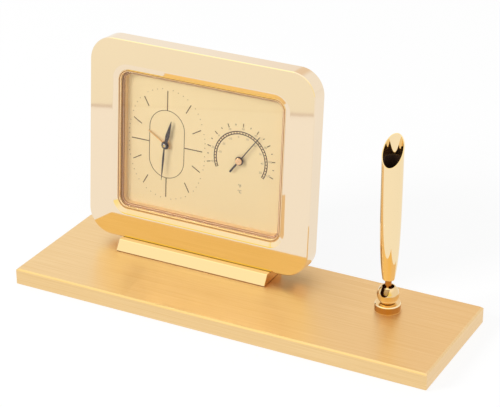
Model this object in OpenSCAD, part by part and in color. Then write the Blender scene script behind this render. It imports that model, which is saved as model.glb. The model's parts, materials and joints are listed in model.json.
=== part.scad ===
// Desk alarm clock with a dial thermometer and a swivelling pen holder on one base.
// Millimetres. +X runs along the base towards the pen holder, -Y is the front, +Z is up.
// The origin is the middle of the felt's underside, on the surface that the base stands on.

/* [Base] */
// Length of the base plate
base_w = 250; // [240:1:320]
// Depth of the base plate, front to back
base_d = 80; // [76:1:120]
// Thickness of the base plate
base_t = 9.4; // [8.5:0.1:14]
// Bevel along the top edges of the base plate
base_bevel = 0.9; // [0.3:0.1:1.6]
// Thickness of the felt
felt_t = 1; // [0.6:0.1:2]
// Distance of the felt from the plate's edges
felt_inset = 3; // [1:0.5:8]

/* [Support bar] */
// Height of the bar, which lifts the case off the base
bar_h = 6; // [5.5:0.1:9]
// Length of the bar
bar_w = 95.2; // [80:0.1:120]
// Depth of the bar's foot
bar_d = 22; // [20:0.5:26]
// Depth that the front slope of the bar takes
bar_slope = 3.8; // [2:0.1:5]
// Flat ledge of the bar in front of the case
bar_ledge = 3.4; // [1:0.1:5]
// Distance between the two screws that hold the case and the bar
bar_screw_gap = 70; // [60:1:76]

/* [Case] */
// Width of the case
case_w = 139.7; // [138:0.1:150]
// Height of the case, along its lean
case_h = 117.6; // [116:0.1:130]
// Depth of the front case at its edge
case_d = 11.25; // [11:0.05:13]
// Corner radius of the case
case_r = 14.5; // [12:0.5:20]
// Wall of the front case
case_wall = 2.2; // [1.6:0.1:2.6]
// Bevel along the case's front edge
case_bevel = 0.7; // [0.3:0.1:1.2]
// Lean of the case, in degrees
case_lean = 4.7; // [0:0.1:8]
// Distance from the base's left end to the case
case_left = 16.8; // [10:0.1:30]
// Distance from the base's front edge to the foot of the face
case_front = 52; // [40:0.5:54]

/* [Window] */
// Width of the opening in the case, behind its bevel
window_w = 104.5; // [100:0.1:106]
// Height of the opening in the case, behind its bevel
window_h = 83.4; // [80:0.1:85]
// Corner radius of that opening
window_r = 7; // [5:0.5:10]
// Width of the bevel round the window
window_bevel_w = 2.8; // [1:0.1:3.5]
// Depth of the bevel round the window
window_bevel_d = 1.3; // [0.6:0.1:1.8]
// Width of the bead round the glass
bead_w = 1.6; // [1:0.1:2.2]
// Depth of the bead's front behind the face
bead_depth = 1.1; // [0.9:0.1:1.3]
// Thickness of the bead's lip in front of the glass
bead_lip = 0.9; // [0.5:0.1:1.1]
// Thickness of the glass
glass_t = 1.2; // [1:0.1:1.4]
// Width of the inner frame that shows behind the glass
frame_w = 1.8; // [1:0.1:3]
// Depth of the dial behind the face
dial_depth = 7; // [6.9:0.05:7.3]

/* [Clock dial] */
// Distance of the clock's centre to the left of the case's middle
clock_side = 23.4; // [22:0.1:24]
// Height of both dial centres above the case's middle
dial_rise = 0.3; // [0:0.1:0.8]
// Width of the printed lines
mark_w = 0.5; // [0.3:0.05:0.8]
// Width of the outline round the hands' centre
pill_w = 22.6; // [18:0.1:24]
// Height of that outline
pill_h = 40.3; // [36:0.1:42]
// Outer radius of the marks at twelve and six
mark_high = 31.5; // [30:0.1:34]
// Outer radius of the marks at three and nine
mark_wide = 22.7; // [20:0.1:26]
// Length of the marks at twelve, three, six and nine
mark_long = 11.3; // [8:0.1:12]
// Length of the other hour marks
mark_short = 6; // [4:0.1:8]
// Length of the minute hand
minute_len = 21.1; // [16:0.1:26]
// Length of the hour hand
hour_len = 15.2; // [10:0.1:18]
// Length of the alarm hand
alarm_len = 13.1; // [8:0.1:16]
// Turn of the minute hand past twelve, in degrees
minute_turn = 184.4; // [0:0.1:360]
// Turn of the hour hand past twelve, in degrees
hour_turn = 14; // [0:0.1:360]
// Turn of the alarm hand past twelve, in degrees
alarm_turn = 301.3; // [0:0.1:360]

/* [Thermometer dial] */
// Distance of the thermometer's centre to the right of the case's middle
thermo_side = 23.4; // [22.5:0.1:25]
// Middle radius of the ladder ring
ladder_r = 15.85; // [13:0.05:17]
// Width of the ladder ring
ladder_w = 1.9; // [1.2:0.1:2.6]
// Outer radius of the scale's ticks
tick_r = 21.5; // [20.5:0.1:23]
// Length of the scale's ticks
tick_len = 2.2; // [1:0.1:3]
// Length of the pointer
pointer_len = 20.4; // [14:0.1:22]
// Length of the pointer's tail
pointer_tail = 9.3; // [5:0.1:12]
// Turn of the pointer from upright, in degrees
pointer_turn = 37; // [-100:0.5:105]
// Radius of the cap over the pointer's hub
cap_r = 2.6; // [1.5:0.1:3.5]

/* [Back] */
// Depth of the rear housing behind the front case
housing_d = 18; // [17.8:0.1:22]
// Wall of the rear cover
rear_wall = 2; // [1.8:0.1:2.2]
// Space inside the rear housing at each side of the battery compartment
housing_side = 3.5; // [0.4:0.1:6]
// Corner radius of the rear housing
housing_r = 8; // [4:0.5:12]
// Radius of the knobs
knob_r = 5.5; // [4:0.1:6.5]
// Travel of the alarm switch
switch_travel = 4; // [3:0.1:5]
// Radius of the buzzer
buzzer_r = 12; // [8:0.5:12]

/* [Movement] */
// Width and height of the movement
movement_w = 54; // [53.6:0.1:54.4]
// Depth of the movement
movement_d = 14; // [13.9:0.1:14.6]
// Wall of the movement's case
movement_wall = 1.5; // [1.2:0.1:1.8]
// Floor of the movement's case
floor_t = 1.2; // [1:0.05:1.3]
// Thickness of a wheel's rim
gear_t = 1; // [0.8:0.05:1]
// Space between wheels
gear_gap = 0.4; // [0.35:0.05:0.45]
// Tooth module of the hand wheels
hand_module = 0.4; // [0.36:0.01:0.41]
// Tooth module of the going train
train_module = 0.25; // [0.22:0.01:0.26]

/* [Pen holder] */
// Distance of the pen holder's axis from the base's right end
pen_right = 45.3; // [20:0.1:60]
// Distance of the pen holder's axis from the base's back edge
pen_back = 26.4; // [15:0.1:40]
// Radius of the disc
disc_r = 7.2; // [6.5:0.1:12]
// Height of the disc
disc_h = 4.3; // [3.5:0.1:8]
// Outer radius of the cup
cup_r = 6.1; // [5.8:0.1:6.4]
// Radius of the ball at the foot of the pen funnel
ball_r = 3.95; // [3.7:0.05:4]
// Radius of the neck
neck_r = 1.8; // [1.4:0.1:1.9]
// Width of the cup's slot
slot_w = 4.8; // [4.6:0.1:5]
// Height of the funnel's foot above the ball's centre
funnel_foot = 9.1; // [8.5:0.1:12]
// Radius of the funnel at its foot
funnel_foot_r = 3.3; // [3:0.1:4]
// Radius of the funnel at its mouth
funnel_r = 5.9; // [5.6:0.1:8]
// Length over which the funnel widens
funnel_flare = 14; // [8:0.5:16]
// Length of the funnel at the front of its slanted mouth
funnel_front = 67.5; // [55:0.5:90]
// Length of the funnel at the back of its slanted mouth
funnel_back = 83; // [70:0.5:110]
// Wall of the funnel
funnel_wall = 0.6; // [0.4:0.05:0.8]
// Radius of the pen's bore
pen_bore_r = 4.4; // [4:0.05:4.6]

/* [Fits] */
// Running clearance round shafts, on the radius
fit = 0.05; // [0.02:0.01:0.08]
// Clearance between pieces that are laid or slid together
play = 0.1; // [0.05:0.01:0.15]

/* [Hidden] */
$fn = 96;
cut = 1;

gold = [0.93, 0.76, 0.42];
brushed = [0.9, 0.74, 0.45];
ink = [0.35, 0.3, 0.18];
dark = [0.2, 0.16, 0.15];
black = [0.12, 0.12, 0.12];
steel = [0.72, 0.73, 0.75];
brass = [0.8, 0.66, 0.34];

// Base and case
base_top = felt_t + base_t;
case_x = case_left + case_w / 2 - base_w / 2;
face_y = case_front - base_d / 2;
bar_y = face_y - bar_ledge - bar_slope;
clock_u = -clock_side;
front_t = 3.4;
boss_r = 3.6;
boss_in = 8;
stack_edge = 3;
stack_w = max(window_w, 2 * clock_side + movement_w) + 2 * stack_edge;
stack_h = window_h + 2 * stack_edge;
stack_r = window_r;
rib_t = 1.5;
rib_d = 4.5;
foot_w = 9;
foot_h = (case_h - stack_h) / 2 - rib_t - play;

// Screws: shank, head radius and head height
case_screw_r = 1.7;
case_head_r = 3.8;
case_head_h = 2.6;
rear_screw_r = 1.2;
rear_head_r = 2.6;
rear_head_h = 1.6;
movement_screw_r = 0.9;
movement_head_r = 1.8;
movement_head_h = 1.1;
hole_play = 0.3;
recess_w = 0.7;

// Depths behind the face, from the glass to the rear wall
glass_front = bead_depth + bead_lip;
glass_back = glass_front + glass_t;
flange_t = 0.8;
frame_front = front_t + flange_t;
dial_t = 0.5;
carrier_front = dial_depth + dial_t;
carrier_t = 1.7;
carrier_back = carrier_front + carrier_t;
rear_plate_t = case_d - carrier_back - fit;
rear_back = case_d + housing_d;
rear_in = rear_back - rear_wall;
floor_in = carrier_back + floor_t;
cover_back = carrier_back + movement_d;
cover_in = cover_back - floor_t;
split_d = floor_in + movement_d / 2;

// Hands, from the glass to the dial
hand_t = 0.3;
mark_t = 0.1;
tip_gap = 0.5;
tip_l = 0.3;
hour_gap = 0.5;
alarm_hand_gap = 0.6;
arbor_tip = glass_back + tip_gap;
minute_d = arbor_tip + tip_l;
hour_d = minute_d + hand_t + hour_gap;
alarm_d = hour_d + hand_t + alarm_hand_gap;
arbor_r = 0.7;
pipe_wall = 0.6;
hour_pipe_r = arbor_r + fit + pipe_wall;
alarm_pipe_r = hour_pipe_r + fit + pipe_wall;
hub_r = 1.7;

// Wheels: levels behind the face and tooth counts
alarm_level = floor_in + gear_gap;
hour_level = alarm_level + gear_t + gear_gap;
leaf_level = hour_level + gear_t + play;
leaf_t = 0.2;
minute_level = leaf_level + leaf_t + play;
pinion_l = gear_t + 2 * gear_gap;
motion_level = minute_level + gear_gap;
centre_level = minute_level + pinion_l + 2 * gear_gap;
third_level = centre_level + gear_t + 2 * gear_gap;
cannon_teeth = 12;
motion_teeth = 36;
motion_pinion_teeth = 10;
hour_teeth = 40;
alarm_teeth = 40;
alarm_pinion_teeth = 20;
centre_teeth = 64;
third_teeth = 60;
leaf_teeth = 8;
motion_gap = hand_module * (cannon_teeth + motion_teeth) / 2;
hour_module = 2 * motion_gap / (motion_pinion_teeth + hour_teeth);
alarm_gap = hand_module * (alarm_teeth + alarm_pinion_teeth) / 2;
third_gap = train_module * (centre_teeth + leaf_teeth) / 2;
rotor_gap = train_module * (third_teeth + leaf_teeth) / 2;
motion_angle = -90;
alarm_angle = 150;
third_angle = 60;
rotor_angle = -20;
motion_at = motion_gap * [cos(motion_angle), sin(motion_angle)];
alarm_at = alarm_gap * [cos(alarm_angle), sin(alarm_angle)];
third_at = third_gap * [cos(third_angle), sin(third_angle)];
rotor_at = third_at + rotor_gap * [cos(rotor_angle), sin(rotor_angle)];
pivot_r = 0.35;
knob_shaft_r = 0.8;
bearing_d = 0.7;
pivot_front = floor_in - bearing_d;
pivot_back = cover_in + bearing_d;

// Motor: the coil lies above the rotor, on the stator's core
stator_t = 0.8;
magnet_l = 3;
magnet_r = 2.4;
stator_gap = 0.4;
stator_ring = 1.8;
stator_bar = 2;
stator_d = minute_level + magnet_l / 2;
coil_l = 15;
coil_rise = 14.2;
flange_w = 1;
bobbin_r = 1.9;
winding_r = 3.6;
coil_flange_r = 4.1;
leg_u = coil_l / 2 + flange_w + stator_bar / 2 + play;
coil_at = rotor_at + [0, coil_rise];

// Circuit board
board_w = 11;
board_h = 40;
board_t = 1;
board_u = -movement_w / 2 + movement_wall + play + board_w / 2;
board_level = leaf_level + leaf_t;
crystal_r = 1.1;
crystal_l = 6;
pillar_r = 2;
pillar_in = 3.4;

// Thermometer
bracket_w = 8;
bracket_t = 1;
bracket_h = 23;
bracket_d = 9;
bracket_back = carrier_back + bracket_d;
coil_turns = 5;
strip_t = 0.3;
strip_w = 4;
strip_gap = 2;
strip_front = carrier_back + strip_gap;
thermo_arbor_r = 0.6;
collar_r = 1.5;
cap_t = 1;
pointer_w = 0.5;
tail_w = 1.1;
pointer_d = minute_d + cap_t + play;
ladder_line = 0.3;
ladder_from = -113.8;
ladder_to = 119.3;
tick_from = -102.6;
tick_step = 26.4;
tick_count = 9;
rungs_per_step = 5;

// Battery and its compartment
battery_r = 7.25;
battery_l = 49.2;
nub_r = 2.75;
nub_l = 1.3;
contact_t = 0.4;
contact_w = 9;
contact_stub = 1;
cell_wall = 1.2;
cell_play = 0.4;
cell_l = battery_l + nub_l + 2 * (contact_t + contact_stub + play);
cell_u = clock_u;
cell_h = 2 * (battery_r + cell_play);
cell_top = dial_rise - movement_w / 2 - cell_play - cell_wall;
cell_v = cell_top - cell_h / 2;
housing_w = 2 * (clock_side + cell_l / 2 + cell_wall + housing_side + rear_wall);
housing_h = 2 * (cell_h - cell_top + rear_wall);
battery_d = rear_in - cell_play - battery_r;
cell_floor = battery_d - battery_r - play;
door_t = 1.1;
door_margin = 0.5;
door_w = cell_l + 2 * door_margin;
door_top = cell_top - cell_wall / 2;
door_low = -housing_h / 2;
tongue_w = 0.9;
tongue_t = 0.5;
grip_count = 5;
grip_w = 24;
grip_h = 0.7;
grip_d = 0.4;
opening_in = 1.2;

// Alarm switch and buzzer
switch_at = [34, -24];
switch_knob = [4, 3];
switch_flange = [11, 6.4];
switch_flange_t = 1;
switch_body_d = 4;
switch_proud = 1.2;
guide_r = 1.6;
buzzer_at = [33, 27];
buzzer_t = 1.8;
buzzer_ring = 1.2;
sound_slots = 5;
sound_w = 13;
sound_h = 1.6;
knob_proud = 2.2;
knob_flutes = 24;
knob_hole_play = 0.8;

// Pen holder
pen_x = base_w / 2 - pen_right;
pen_y = base_d / 2 - pen_back;
washer_t = 0.3;
washer_r = 3.8;
cup_top = 4.8;
cup_drop = 4.6;
ball_z = base_top + disc_h + washer_t + cup_drop;
opening_r = 3.3;
slot_low_angle = 6.5;
slot_end = asin(slot_w / 2 / cup_r) + slot_low_angle;
stem_r = 2.4;
stem_bore_r = 1.45;
pad_h = 2.4;
disc_bevel = 0.5;
pen_shank_r = 1.4;
pen_head_r = 3.4;
pen_head_h = 1.8;
spring_washer_t = 0.5;
pen_counterbore = 3.4;
funnel_floor = 2.4;
stub_r = 1.5;
funnel_steps = 18;
liner_top = 74;
liner_foot = 12;
mouth_angle = atan((funnel_back - funnel_front) / (2 * funnel_r));

// Frames: the face's middle, the clock's axis and the thermometer's axis.
// In each, x is across, y is the depth behind the face and z is up the face.
module on_face() {
    translate([case_x, face_y, base_top + bar_h]) rotate([-case_lean, 0, 0])
        translate([0, 0, case_h / 2]) children();
}
module on_clock() { on_face() translate([clock_u, 0, dial_rise]) children(); }
module on_thermo() { on_face() translate([thermo_side, 0, dial_rise]) children(); }

// A flat shape drawn as seen from the front, between two depths.
module slab(d0, d1) {
    translate([0, d1, 0]) rotate([90, 0, 0]) linear_extrude(d1 - d0) children();
}
module rod(at, r, d0, d1) { slab(d0, d1) translate(at) circle(r); }
module block(at, size, d0, d1) { slab(d0, d1) translate(at) square(size, center = true); }

module rounded(w, h, r) {
    square([w - 2 * r, h], center = true);
    square([w, h - 2 * r], center = true);
    for (x = [-1, 1], y = [-1, 1]) translate([x * (w / 2 - r), y * (h / 2 - r)]) circle(r);
}
// The rounded rectangle left inside the case's outline when it is drawn in by some distance.
module inset_case(by, r) { rounded(case_w - 2 * by, case_h - 2 * by, r); }
// The outline shared by the pieces stacked behind the window, grown by some distance.
module stack(by = 0) { rounded(stack_w + 2 * by, stack_h + 2 * by, stack_r + by); }
module housing(by = 0) { rounded(housing_w + 2 * by, housing_h + 2 * by, housing_r + by); }

// A rounded rectangle that grows or shrinks evenly between two depths.
module tapered(w, h, r, d0, d1, grow0, grow1) {
    for (x = [-1, 1], z = [-1, 1])
        translate([x * (w / 2 - r), d0, z * (h / 2 - r)]) rotate([-90, 0, 0])
            cylinder(h = d1 - d0, r1 = r + grow0, r2 = r + grow1);
    translate([-(w / 2 - r), 0, 0]) rotate([90, 0, 90]) linear_extrude(w - 2 * r)
        polygon([[d0, -h / 2 - grow0], [d1, -h / 2 - grow1], [d1, h / 2 + grow1],
            [d0, h / 2 + grow0]]);
    translate([0, 0, -(h / 2 - r)]) linear_extrude(h - 2 * r)
        polygon([[-w / 2 - grow0, d0], [w / 2 + grow0, d0], [w / 2 + grow1, d1],
            [-w / 2 - grow1, d1]]);
}

// Straight-sided teeth with clearance; the first tooth, or a gap, points at the given angle.
tooth_shares = [0.28, 0.12];
module gear(teeth, size, at_angle, gap = false) {
    pitch_r = teeth * size / 2;
    step = 360 / teeth;
    start = at_angle + (gap ? step / 2 : 0);
    root_r = pitch_r - 1.05 * size;
    tip_r = pitch_r + 0.8 * size;
    polygon([for (i = [0:teeth - 1], k = [0:3])
        let (a = start + step * (i + [-1, -1, 1, 1][k] * tooth_shares[[0, 1, 1, 0][k]]),
            r = [root_r, tip_r, tip_r, root_r][k]) r * [cos(a), sin(a)]]);
}

module pan_screw(r, head_r, head_h, length) {
    difference() {
        union() {
            cylinder(h = head_h, r = head_r);
            translate([0, 0, -length]) cylinder(h = length + head_h / 2, r = r);
        }
        for (turn = [0, 90]) rotate(turn)
            translate([-head_r * 0.6, -recess_w / 2, head_h / 2])
                cube([head_r * 1.2, recess_w, head_h]);
    }
}

// Base
module case_screw_places() {
    for (side = [-1, 1])
        translate([case_x + side * bar_screw_gap / 2, face_y + (front_t + carrier_back) / 2, 0])
            children();
}
module base_plate() {
    body_t = base_t - base_bevel;
    color(brushed) difference() {
        union() {
            translate([-base_w / 2, -base_d / 2, felt_t]) cube([base_w, base_d, body_t]);
            intersection() {
                translate([-base_w / 2, 0, 0]) rotate([90, 0, 90]) linear_extrude(base_w)
                    polygon([[-base_d / 2, felt_t + body_t / 2], [-base_d / 2, felt_t + body_t],
                        [-base_d / 2 + base_bevel, base_top], [base_d / 2 - base_bevel, base_top],
                        [base_d / 2, felt_t + body_t], [base_d / 2, felt_t + body_t / 2]]);
                translate([0, base_d / 2, 0]) rotate([90, 0, 0]) linear_extrude(base_d)
                    polygon([[-base_w / 2, felt_t + body_t / 2], [-base_w / 2, felt_t + body_t],
                        [-base_w / 2 + base_bevel, base_top], [base_w / 2 - base_bevel, base_top],
                        [base_w / 2, felt_t + body_t], [base_w / 2, felt_t + body_t / 2]]);
            }
        }
        case_screw_places() {
            translate([0, 0, felt_t - cut]) cylinder(h = base_t + 2 * cut, r = case_screw_r + hole_play);
            translate([0, 0, felt_t - cut])
                cylinder(h = case_head_h + 2 * play + cut, r = case_head_r + hole_play);
        }
        translate([pen_x, pen_y, felt_t - cut]) {
            cylinder(h = base_t + 2 * cut, r = pen_shank_r + fit);
            cylinder(h = pen_counterbore + cut, r = pen_head_r + hole_play);
        }
    }
}
module felt_pad() {
    color([0.12, 0.2, 0.16]) translate([-base_w / 2 + felt_inset, -base_d / 2 + felt_inset, 0])
        cube([base_w - 2 * felt_inset, base_d - 2 * felt_inset, felt_t]);
}
module support_bar() {
    seat_drop = (bar_y + bar_d - face_y) * tan(case_lean);
    color(gold) difference() {
        translate([case_x - bar_w / 2, 0, base_top]) rotate([90, 0, 90]) linear_extrude(bar_w)
            polygon([[bar_y, 0], [bar_y + bar_slope, bar_h], [face_y, bar_h],
                [bar_y + bar_d, bar_h - seat_drop], [bar_y + bar_d, 0]]);
        case_screw_places() translate([0, 0, base_top - cut])
            cylinder(h = bar_h + 2 * cut, r = case_screw_r + hole_play);
    }
}
case_screw_l = base_t - case_head_h - 2 * play + bar_h + foot_h / 2;
module case_screws() {
    color(steel) case_screw_places() translate([0, 0, felt_t + case_head_h + 2 * play])
        mirror([0, 0, 1]) pan_screw(case_screw_r, case_head_r, case_head_h, case_screw_l);
}

// Case
module boss_places() {
    for (x = [-1, 1], z = [-1, 1]) translate([x * (case_w / 2 - boss_in), 0, z * (case_h / 2 - boss_in)])
        children();
}
module front_case() {
    color(gold) difference() {
        on_face() difference() {
            union() {
                difference() {
                    union() {
                        tapered(case_w, case_h, case_r, 0, case_bevel, -case_bevel, 0);
                        slab(case_bevel, case_d) inset_case(0, case_r);
                    }
                    slab(front_t, case_d + cut) inset_case(case_wall, case_r - case_wall);
                }
                boss_places() rod([0, 0], boss_r, front_t - case_wall, case_d - rear_plate_t - fit);
                slab(front_t - case_wall, front_t + rib_d) difference() {
                    stack(play + rib_t);
                    stack(play);
                }
                for (side = [-1, 1])
                    block([side * bar_screw_gap / 2, (foot_h - case_h) / 2 + case_wall / 4],
                        [foot_w, foot_h - case_wall / 2], front_t - case_wall / 2, carrier_back);
            }
            grow = window_bevel_w * (1 + cut / window_bevel_d);
            tapered(window_w, window_h, window_r, -cut, window_bevel_d, grow, 0);
            slab(0, front_t + cut) rounded(window_w, window_h, window_r);
            boss_places() rod([0, 0], rear_screw_r + fit, front_t, case_d + cut);
        }
        case_screw_places() translate([0, 0, base_top])
            cylinder(h = bar_h + foot_h / 2 + 2 * play, r = case_screw_r + fit);
    }
}
glass_w = window_w - 2 * bead_w;
glass_h = window_h - 2 * bead_w;
glass_r = window_r - bead_w;
glass_seat = 0.8;
module window_bead() {
    color([0.95, 0.78, 0.5]) on_face() difference() {
        union() {
            slab(bead_depth, front_t + fit)
                rounded(window_w - 2 * play, window_h - 2 * play, window_r - play);
            slab(front_t, frame_front) stack();
        }
        slab(0, frame_front + cut) rounded(glass_w, glass_h, glass_r);
        slab(glass_front, frame_front + cut)
            rounded(glass_w + 2 * glass_seat, glass_h + 2 * glass_seat, glass_r + glass_seat);
    }
}
module window_glass() {
    color([0.85, 0.9, 0.9, 0.3]) on_face() slab(glass_front, glass_back)
        rounded(glass_w + 2 * glass_seat - 2 * play, glass_h + 2 * glass_seat - 2 * play,
            glass_r + glass_seat - play);
}
module dial_frame() {
    color([0.9, 0.75, 0.55]) on_face() difference() {
        union() {
            slab(glass_back, dial_depth)
                rounded(glass_w + 2 * glass_seat - 2 * play, glass_h + 2 * glass_seat - 2 * play,
                    glass_r + glass_seat - play);
            slab(frame_front, dial_depth) stack();
        }
        slab(0, dial_depth + cut)
            rounded(glass_w - 2 * frame_w, glass_h - 2 * frame_w, glass_r - frame_w);
    }
}
module dial_holes() {
    translate([clock_u, dial_rise]) circle(alarm_pipe_r + play);
    translate([thermo_side, dial_rise]) circle(thermo_arbor_r + play);
}
module dial_plate() {
    color([0.93, 0.84, 0.64]) on_face() slab(dial_depth, carrier_front) difference() {
        stack();
        dial_holes();
    }
}
module dial_carrier() {
    color(black) on_face() difference() {
        slab(carrier_front, carrier_back) difference() {
            stack();
            dial_holes();
        }
        translate([clock_u, 0, dial_rise])
            pillars(movement_screw_r + fit, carrier_front - cut, carrier_back + cut);
    }
}

// Printing: shares of the full mark lengths and radii follow the oblong hour ring
hour_outer_shares = [1, 0.946, 0.79, 0.721];
function hour_outer(hour) =
    let (k = min(hour % 6, 6 - hour % 6))
    [mark_high, mark_high * hour_outer_shares[1], mark_high * hour_outer_shares[2], mark_wide][k];
module hour_marks() {
    color(ink) on_clock() slab(dial_depth - mark_t, dial_depth) {
        for (hour = [1:12]) let (outer = hour_outer(hour),
                length = hour % 3 == 0 ? mark_long : mark_short)
            rotate(-30 * hour) translate([0, outer - length / 2])
                square([mark_w, length], center = true);
        difference() {
            pill(pill_w, pill_h);
            pill(pill_w - 2 * ladder_line, pill_h - 2 * ladder_line);
        }
    }
}
module pill(w, h) {
    square([w, h - w], center = true);
    for (y = [-1, 1]) translate([0, y * (h - w) / 2]) circle(w / 2);
}
module ring(r, w) {
    difference() {
        circle(r + w / 2);
        circle(r - w / 2);
    }
}
module sector(r, from, to, steps) {
    polygon(concat([[0, 0]], [for (i = [0:steps]) let (a = from + (to - from) * i / steps)
        r * [sin(a), cos(a)]]));
}
module thermo_scale() {
    line_in = ladder_w / 2 - ladder_line / 2;
    rung_step = tick_step / rungs_per_step;
    color(ink) on_thermo() slab(dial_depth - mark_t, dial_depth) {
        intersection() {
            union() {
                ring(ladder_r + line_in, ladder_line);
                ring(ladder_r - line_in, ladder_line);
            }
            sector(tick_r, ladder_from, ladder_to, 12);
        }
        for (a = [tick_from - 2 * rung_step:rung_step:ladder_to])
            rotate(-a) translate([0, ladder_r])
                square([ladder_line, ladder_w - ladder_line], center = true);
        for (i = [0:tick_count - 1]) rotate(-tick_from - i * tick_step)
            translate([0, tick_r - tick_len / 2]) square([mark_w, tick_len], center = true);
        for (i = [0:tick_count - 2]) rotate(-tick_from - (i + 1 / 2) * tick_step)
            translate([0, tick_r - tick_len / 2]) square([mark_w, mark_w], center = true);
    }
}

// Hands: a leaf outline from the hub to the tip, in shares of the length
leaf_shares = [0.38, 0.94];
module leaf(length, root_w, wide_w, tip_w) {
    polygon([[root_w / 2, 0], [wide_w / 2, length * leaf_shares[0]],
        [tip_w / 2, length * leaf_shares[1]], [0, length], [-tip_w / 2, length * leaf_shares[1]],
        [-wide_w / 2, length * leaf_shares[0]], [-root_w / 2, 0]]);
}
module minute_hand() {
    color(dark) on_clock() slab(minute_d, minute_d + hand_t) difference() {
        union() {
            circle(hub_r);
            rotate(-minute_turn) leaf(minute_len, hub_r, 1.3 * arbor_r * 1.4, arbor_r / 2);
        }
        circle(arbor_r);
    }
}
module hour_hand() {
    color(dark) on_clock() slab(hour_d, hour_d + hand_t) difference() {
        union() {
            circle(hub_r + pipe_wall);
            rotate(-hour_turn) leaf(hour_len, hub_r, hour_pipe_r * 1.7, arbor_r / 2);
        }
        circle(hour_pipe_r - pipe_wall / 2);
    }
}
module alarm_hand() {
    color([0.85, 0.6, 0.25]) on_clock() slab(alarm_d, alarm_d + hand_t) difference() {
        union() {
            circle(alarm_pipe_r + pipe_wall);
            rotate(-alarm_turn) translate([0, alarm_len / 2 - hub_r])
                square([mark_w * 1.4, alarm_len + 2 * hub_r], center = true);
        }
        circle(alarm_pipe_r - pipe_wall / 2);
    }
}

// Thermometer
module thermo_pointer() {
    color(dark) on_thermo() slab(pointer_d, pointer_d + hand_t) difference() {
        union() {
            circle(cap_r - play);
            rotate(-pointer_turn) {
                leaf(pointer_len, tail_w, pointer_w, pointer_w / 2);
                translate([-tail_w / 2, -pointer_tail]) square([tail_w, pointer_tail]);
            }
        }
        circle(thermo_arbor_r);
    }
}
module thermo_cap() {
    color([0.85, 0.65, 0.5]) on_thermo() difference() {
        rod([0, 0], cap_r, minute_d, pointer_d);
        rod([0, 0], thermo_arbor_r, minute_d + cap_t / 2, pointer_d + cut);
    }
}
module thermo_arbor() {
    color(brass) on_thermo() {
        rod([0, 0], thermo_arbor_r, minute_d + cap_t / 2, bracket_back - bracket_t / 2);
        rod([0, 0], collar_r, carrier_back + play, carrier_back + gear_t);
    }
}
module bimetal_coil() {
    first_r = thermo_arbor_r + play + strip_t / 2;
    last_r = bracket_h / 2 - bracket_t - fit - strip_t / 2;
    steps = coil_turns * 24;
    function spiral(i, side) =
        let (a = 90 + 360 * coil_turns * i / steps,
            r = first_r + (last_r - first_r) * i / steps + side * strip_t / 2)
        r * [cos(a), sin(a)];
    color([0.75, 0.68, 0.55]) on_thermo() slab(strip_front, strip_front + strip_w)
        polygon(concat([for (i = [0:steps]) spiral(i, -1)], [for (i = [steps:-1:0]) spiral(i, 1)]));
}
module thermo_bracket() {
    color(steel) on_thermo() difference() {
        union() {
            block([0, 0], [bracket_w, bracket_h], bracket_back - bracket_t, bracket_back);
            for (side = [-1, 1]) {
                block([0, side * (bracket_h - bracket_t) / 2], [bracket_w, bracket_t],
                    carrier_back, bracket_back);
                block([0, side * (bracket_h + bracket_w / 2) / 2], [bracket_w, bracket_w / 2 + bracket_t],
                    carrier_back, carrier_back + bracket_t);
            }
        }
        rod([0, 0], thermo_arbor_r + fit, strip_front + strip_w, bracket_back + cut);
    }
}

// Movement
module pillars(r, d0, d1) {
    off = movement_w / 2 - pillar_in;
    for (x = [-1, 1], z = [-1, 1]) rod([x * off, z * off], r, d0, d1);
}
module movement_shell(d0, d1) {
    slab(d0, d1) difference() {
        rounded(movement_w, movement_w, pillar_in);
        rounded(movement_w - 2 * movement_wall, movement_w - 2 * movement_wall,
            pillar_in - movement_wall);
    }
    pillars(pillar_r, d0, d1);
}
// A blind bearing for each arbor that runs between the floor and the cover.
module bearings(d0, d1) {
    rod([0, 0], arbor_r + fit, d0, d1);
    rod(third_at, pivot_r + fit, d0, d1);
    rod(rotor_at, pivot_r + fit, d0, d1);
}
module movement_base() {
    post_v = board_h / 2 - pillar_r;
    color([0.85, 0.85, 0.82]) on_clock() difference() {
        union() {
            slab(carrier_back, floor_in) rounded(movement_w, movement_w, pillar_in);
            movement_shell(floor_in, split_d);
            for (v = [-1, 1]) rod([board_u, v * post_v], pillar_r, floor_in, board_level);
            for (u = [-1, 1]) rod(coil_at + [u * leg_u, -coil_rise / 2], stator_bar / 2, floor_in,
                stator_d - stator_t / 2);
        }
        pillars(movement_screw_r + fit, carrier_back - cut, split_d + cut);
        rod([0, 0], alarm_pipe_r + fit, carrier_back - cut, floor_in + cut);
        for (at = [third_at, rotor_at]) rod(at, pivot_r + fit, pivot_front - fit, floor_in + cut);
        for (at = [motion_at, alarm_at])
            rod(at, knob_shaft_r + fit, pivot_front - fit, floor_in + cut);
    }
}
module movement_cover() {
    color([0.85, 0.85, 0.82]) on_clock() difference() {
        union() {
            slab(cover_in, cover_back) rounded(movement_w, movement_w, pillar_in);
            movement_shell(split_d, cover_in);
        }
        pillars(movement_screw_r + fit, split_d - cut, cover_back + cut);
        bearings(cover_in - cut, pivot_back + fit);
        for (at = [motion_at, alarm_at]) rod(at, knob_shaft_r + fit, cover_in - cut, cover_back + cut);
    }
}
module movement_screws() {
    off = movement_w / 2 - pillar_in;
    color(steel) on_clock() for (x = [-1, 1], z = [-1, 1])
        translate([x * off, cover_back, z * off]) rotate([-90, 0, 0])
            pan_screw(movement_screw_r, movement_head_r, movement_head_h, cover_back - carrier_front - play);
}
module circuit_board() {
    color([0.1, 0.35, 0.2]) on_clock() {
        block([board_u, 0], [board_w, board_h], board_level, board_level + board_t);
        rod([board_u, -board_h / 5], board_w / 4, board_level + board_t, board_level + 2 * board_t);
    }
}
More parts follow.
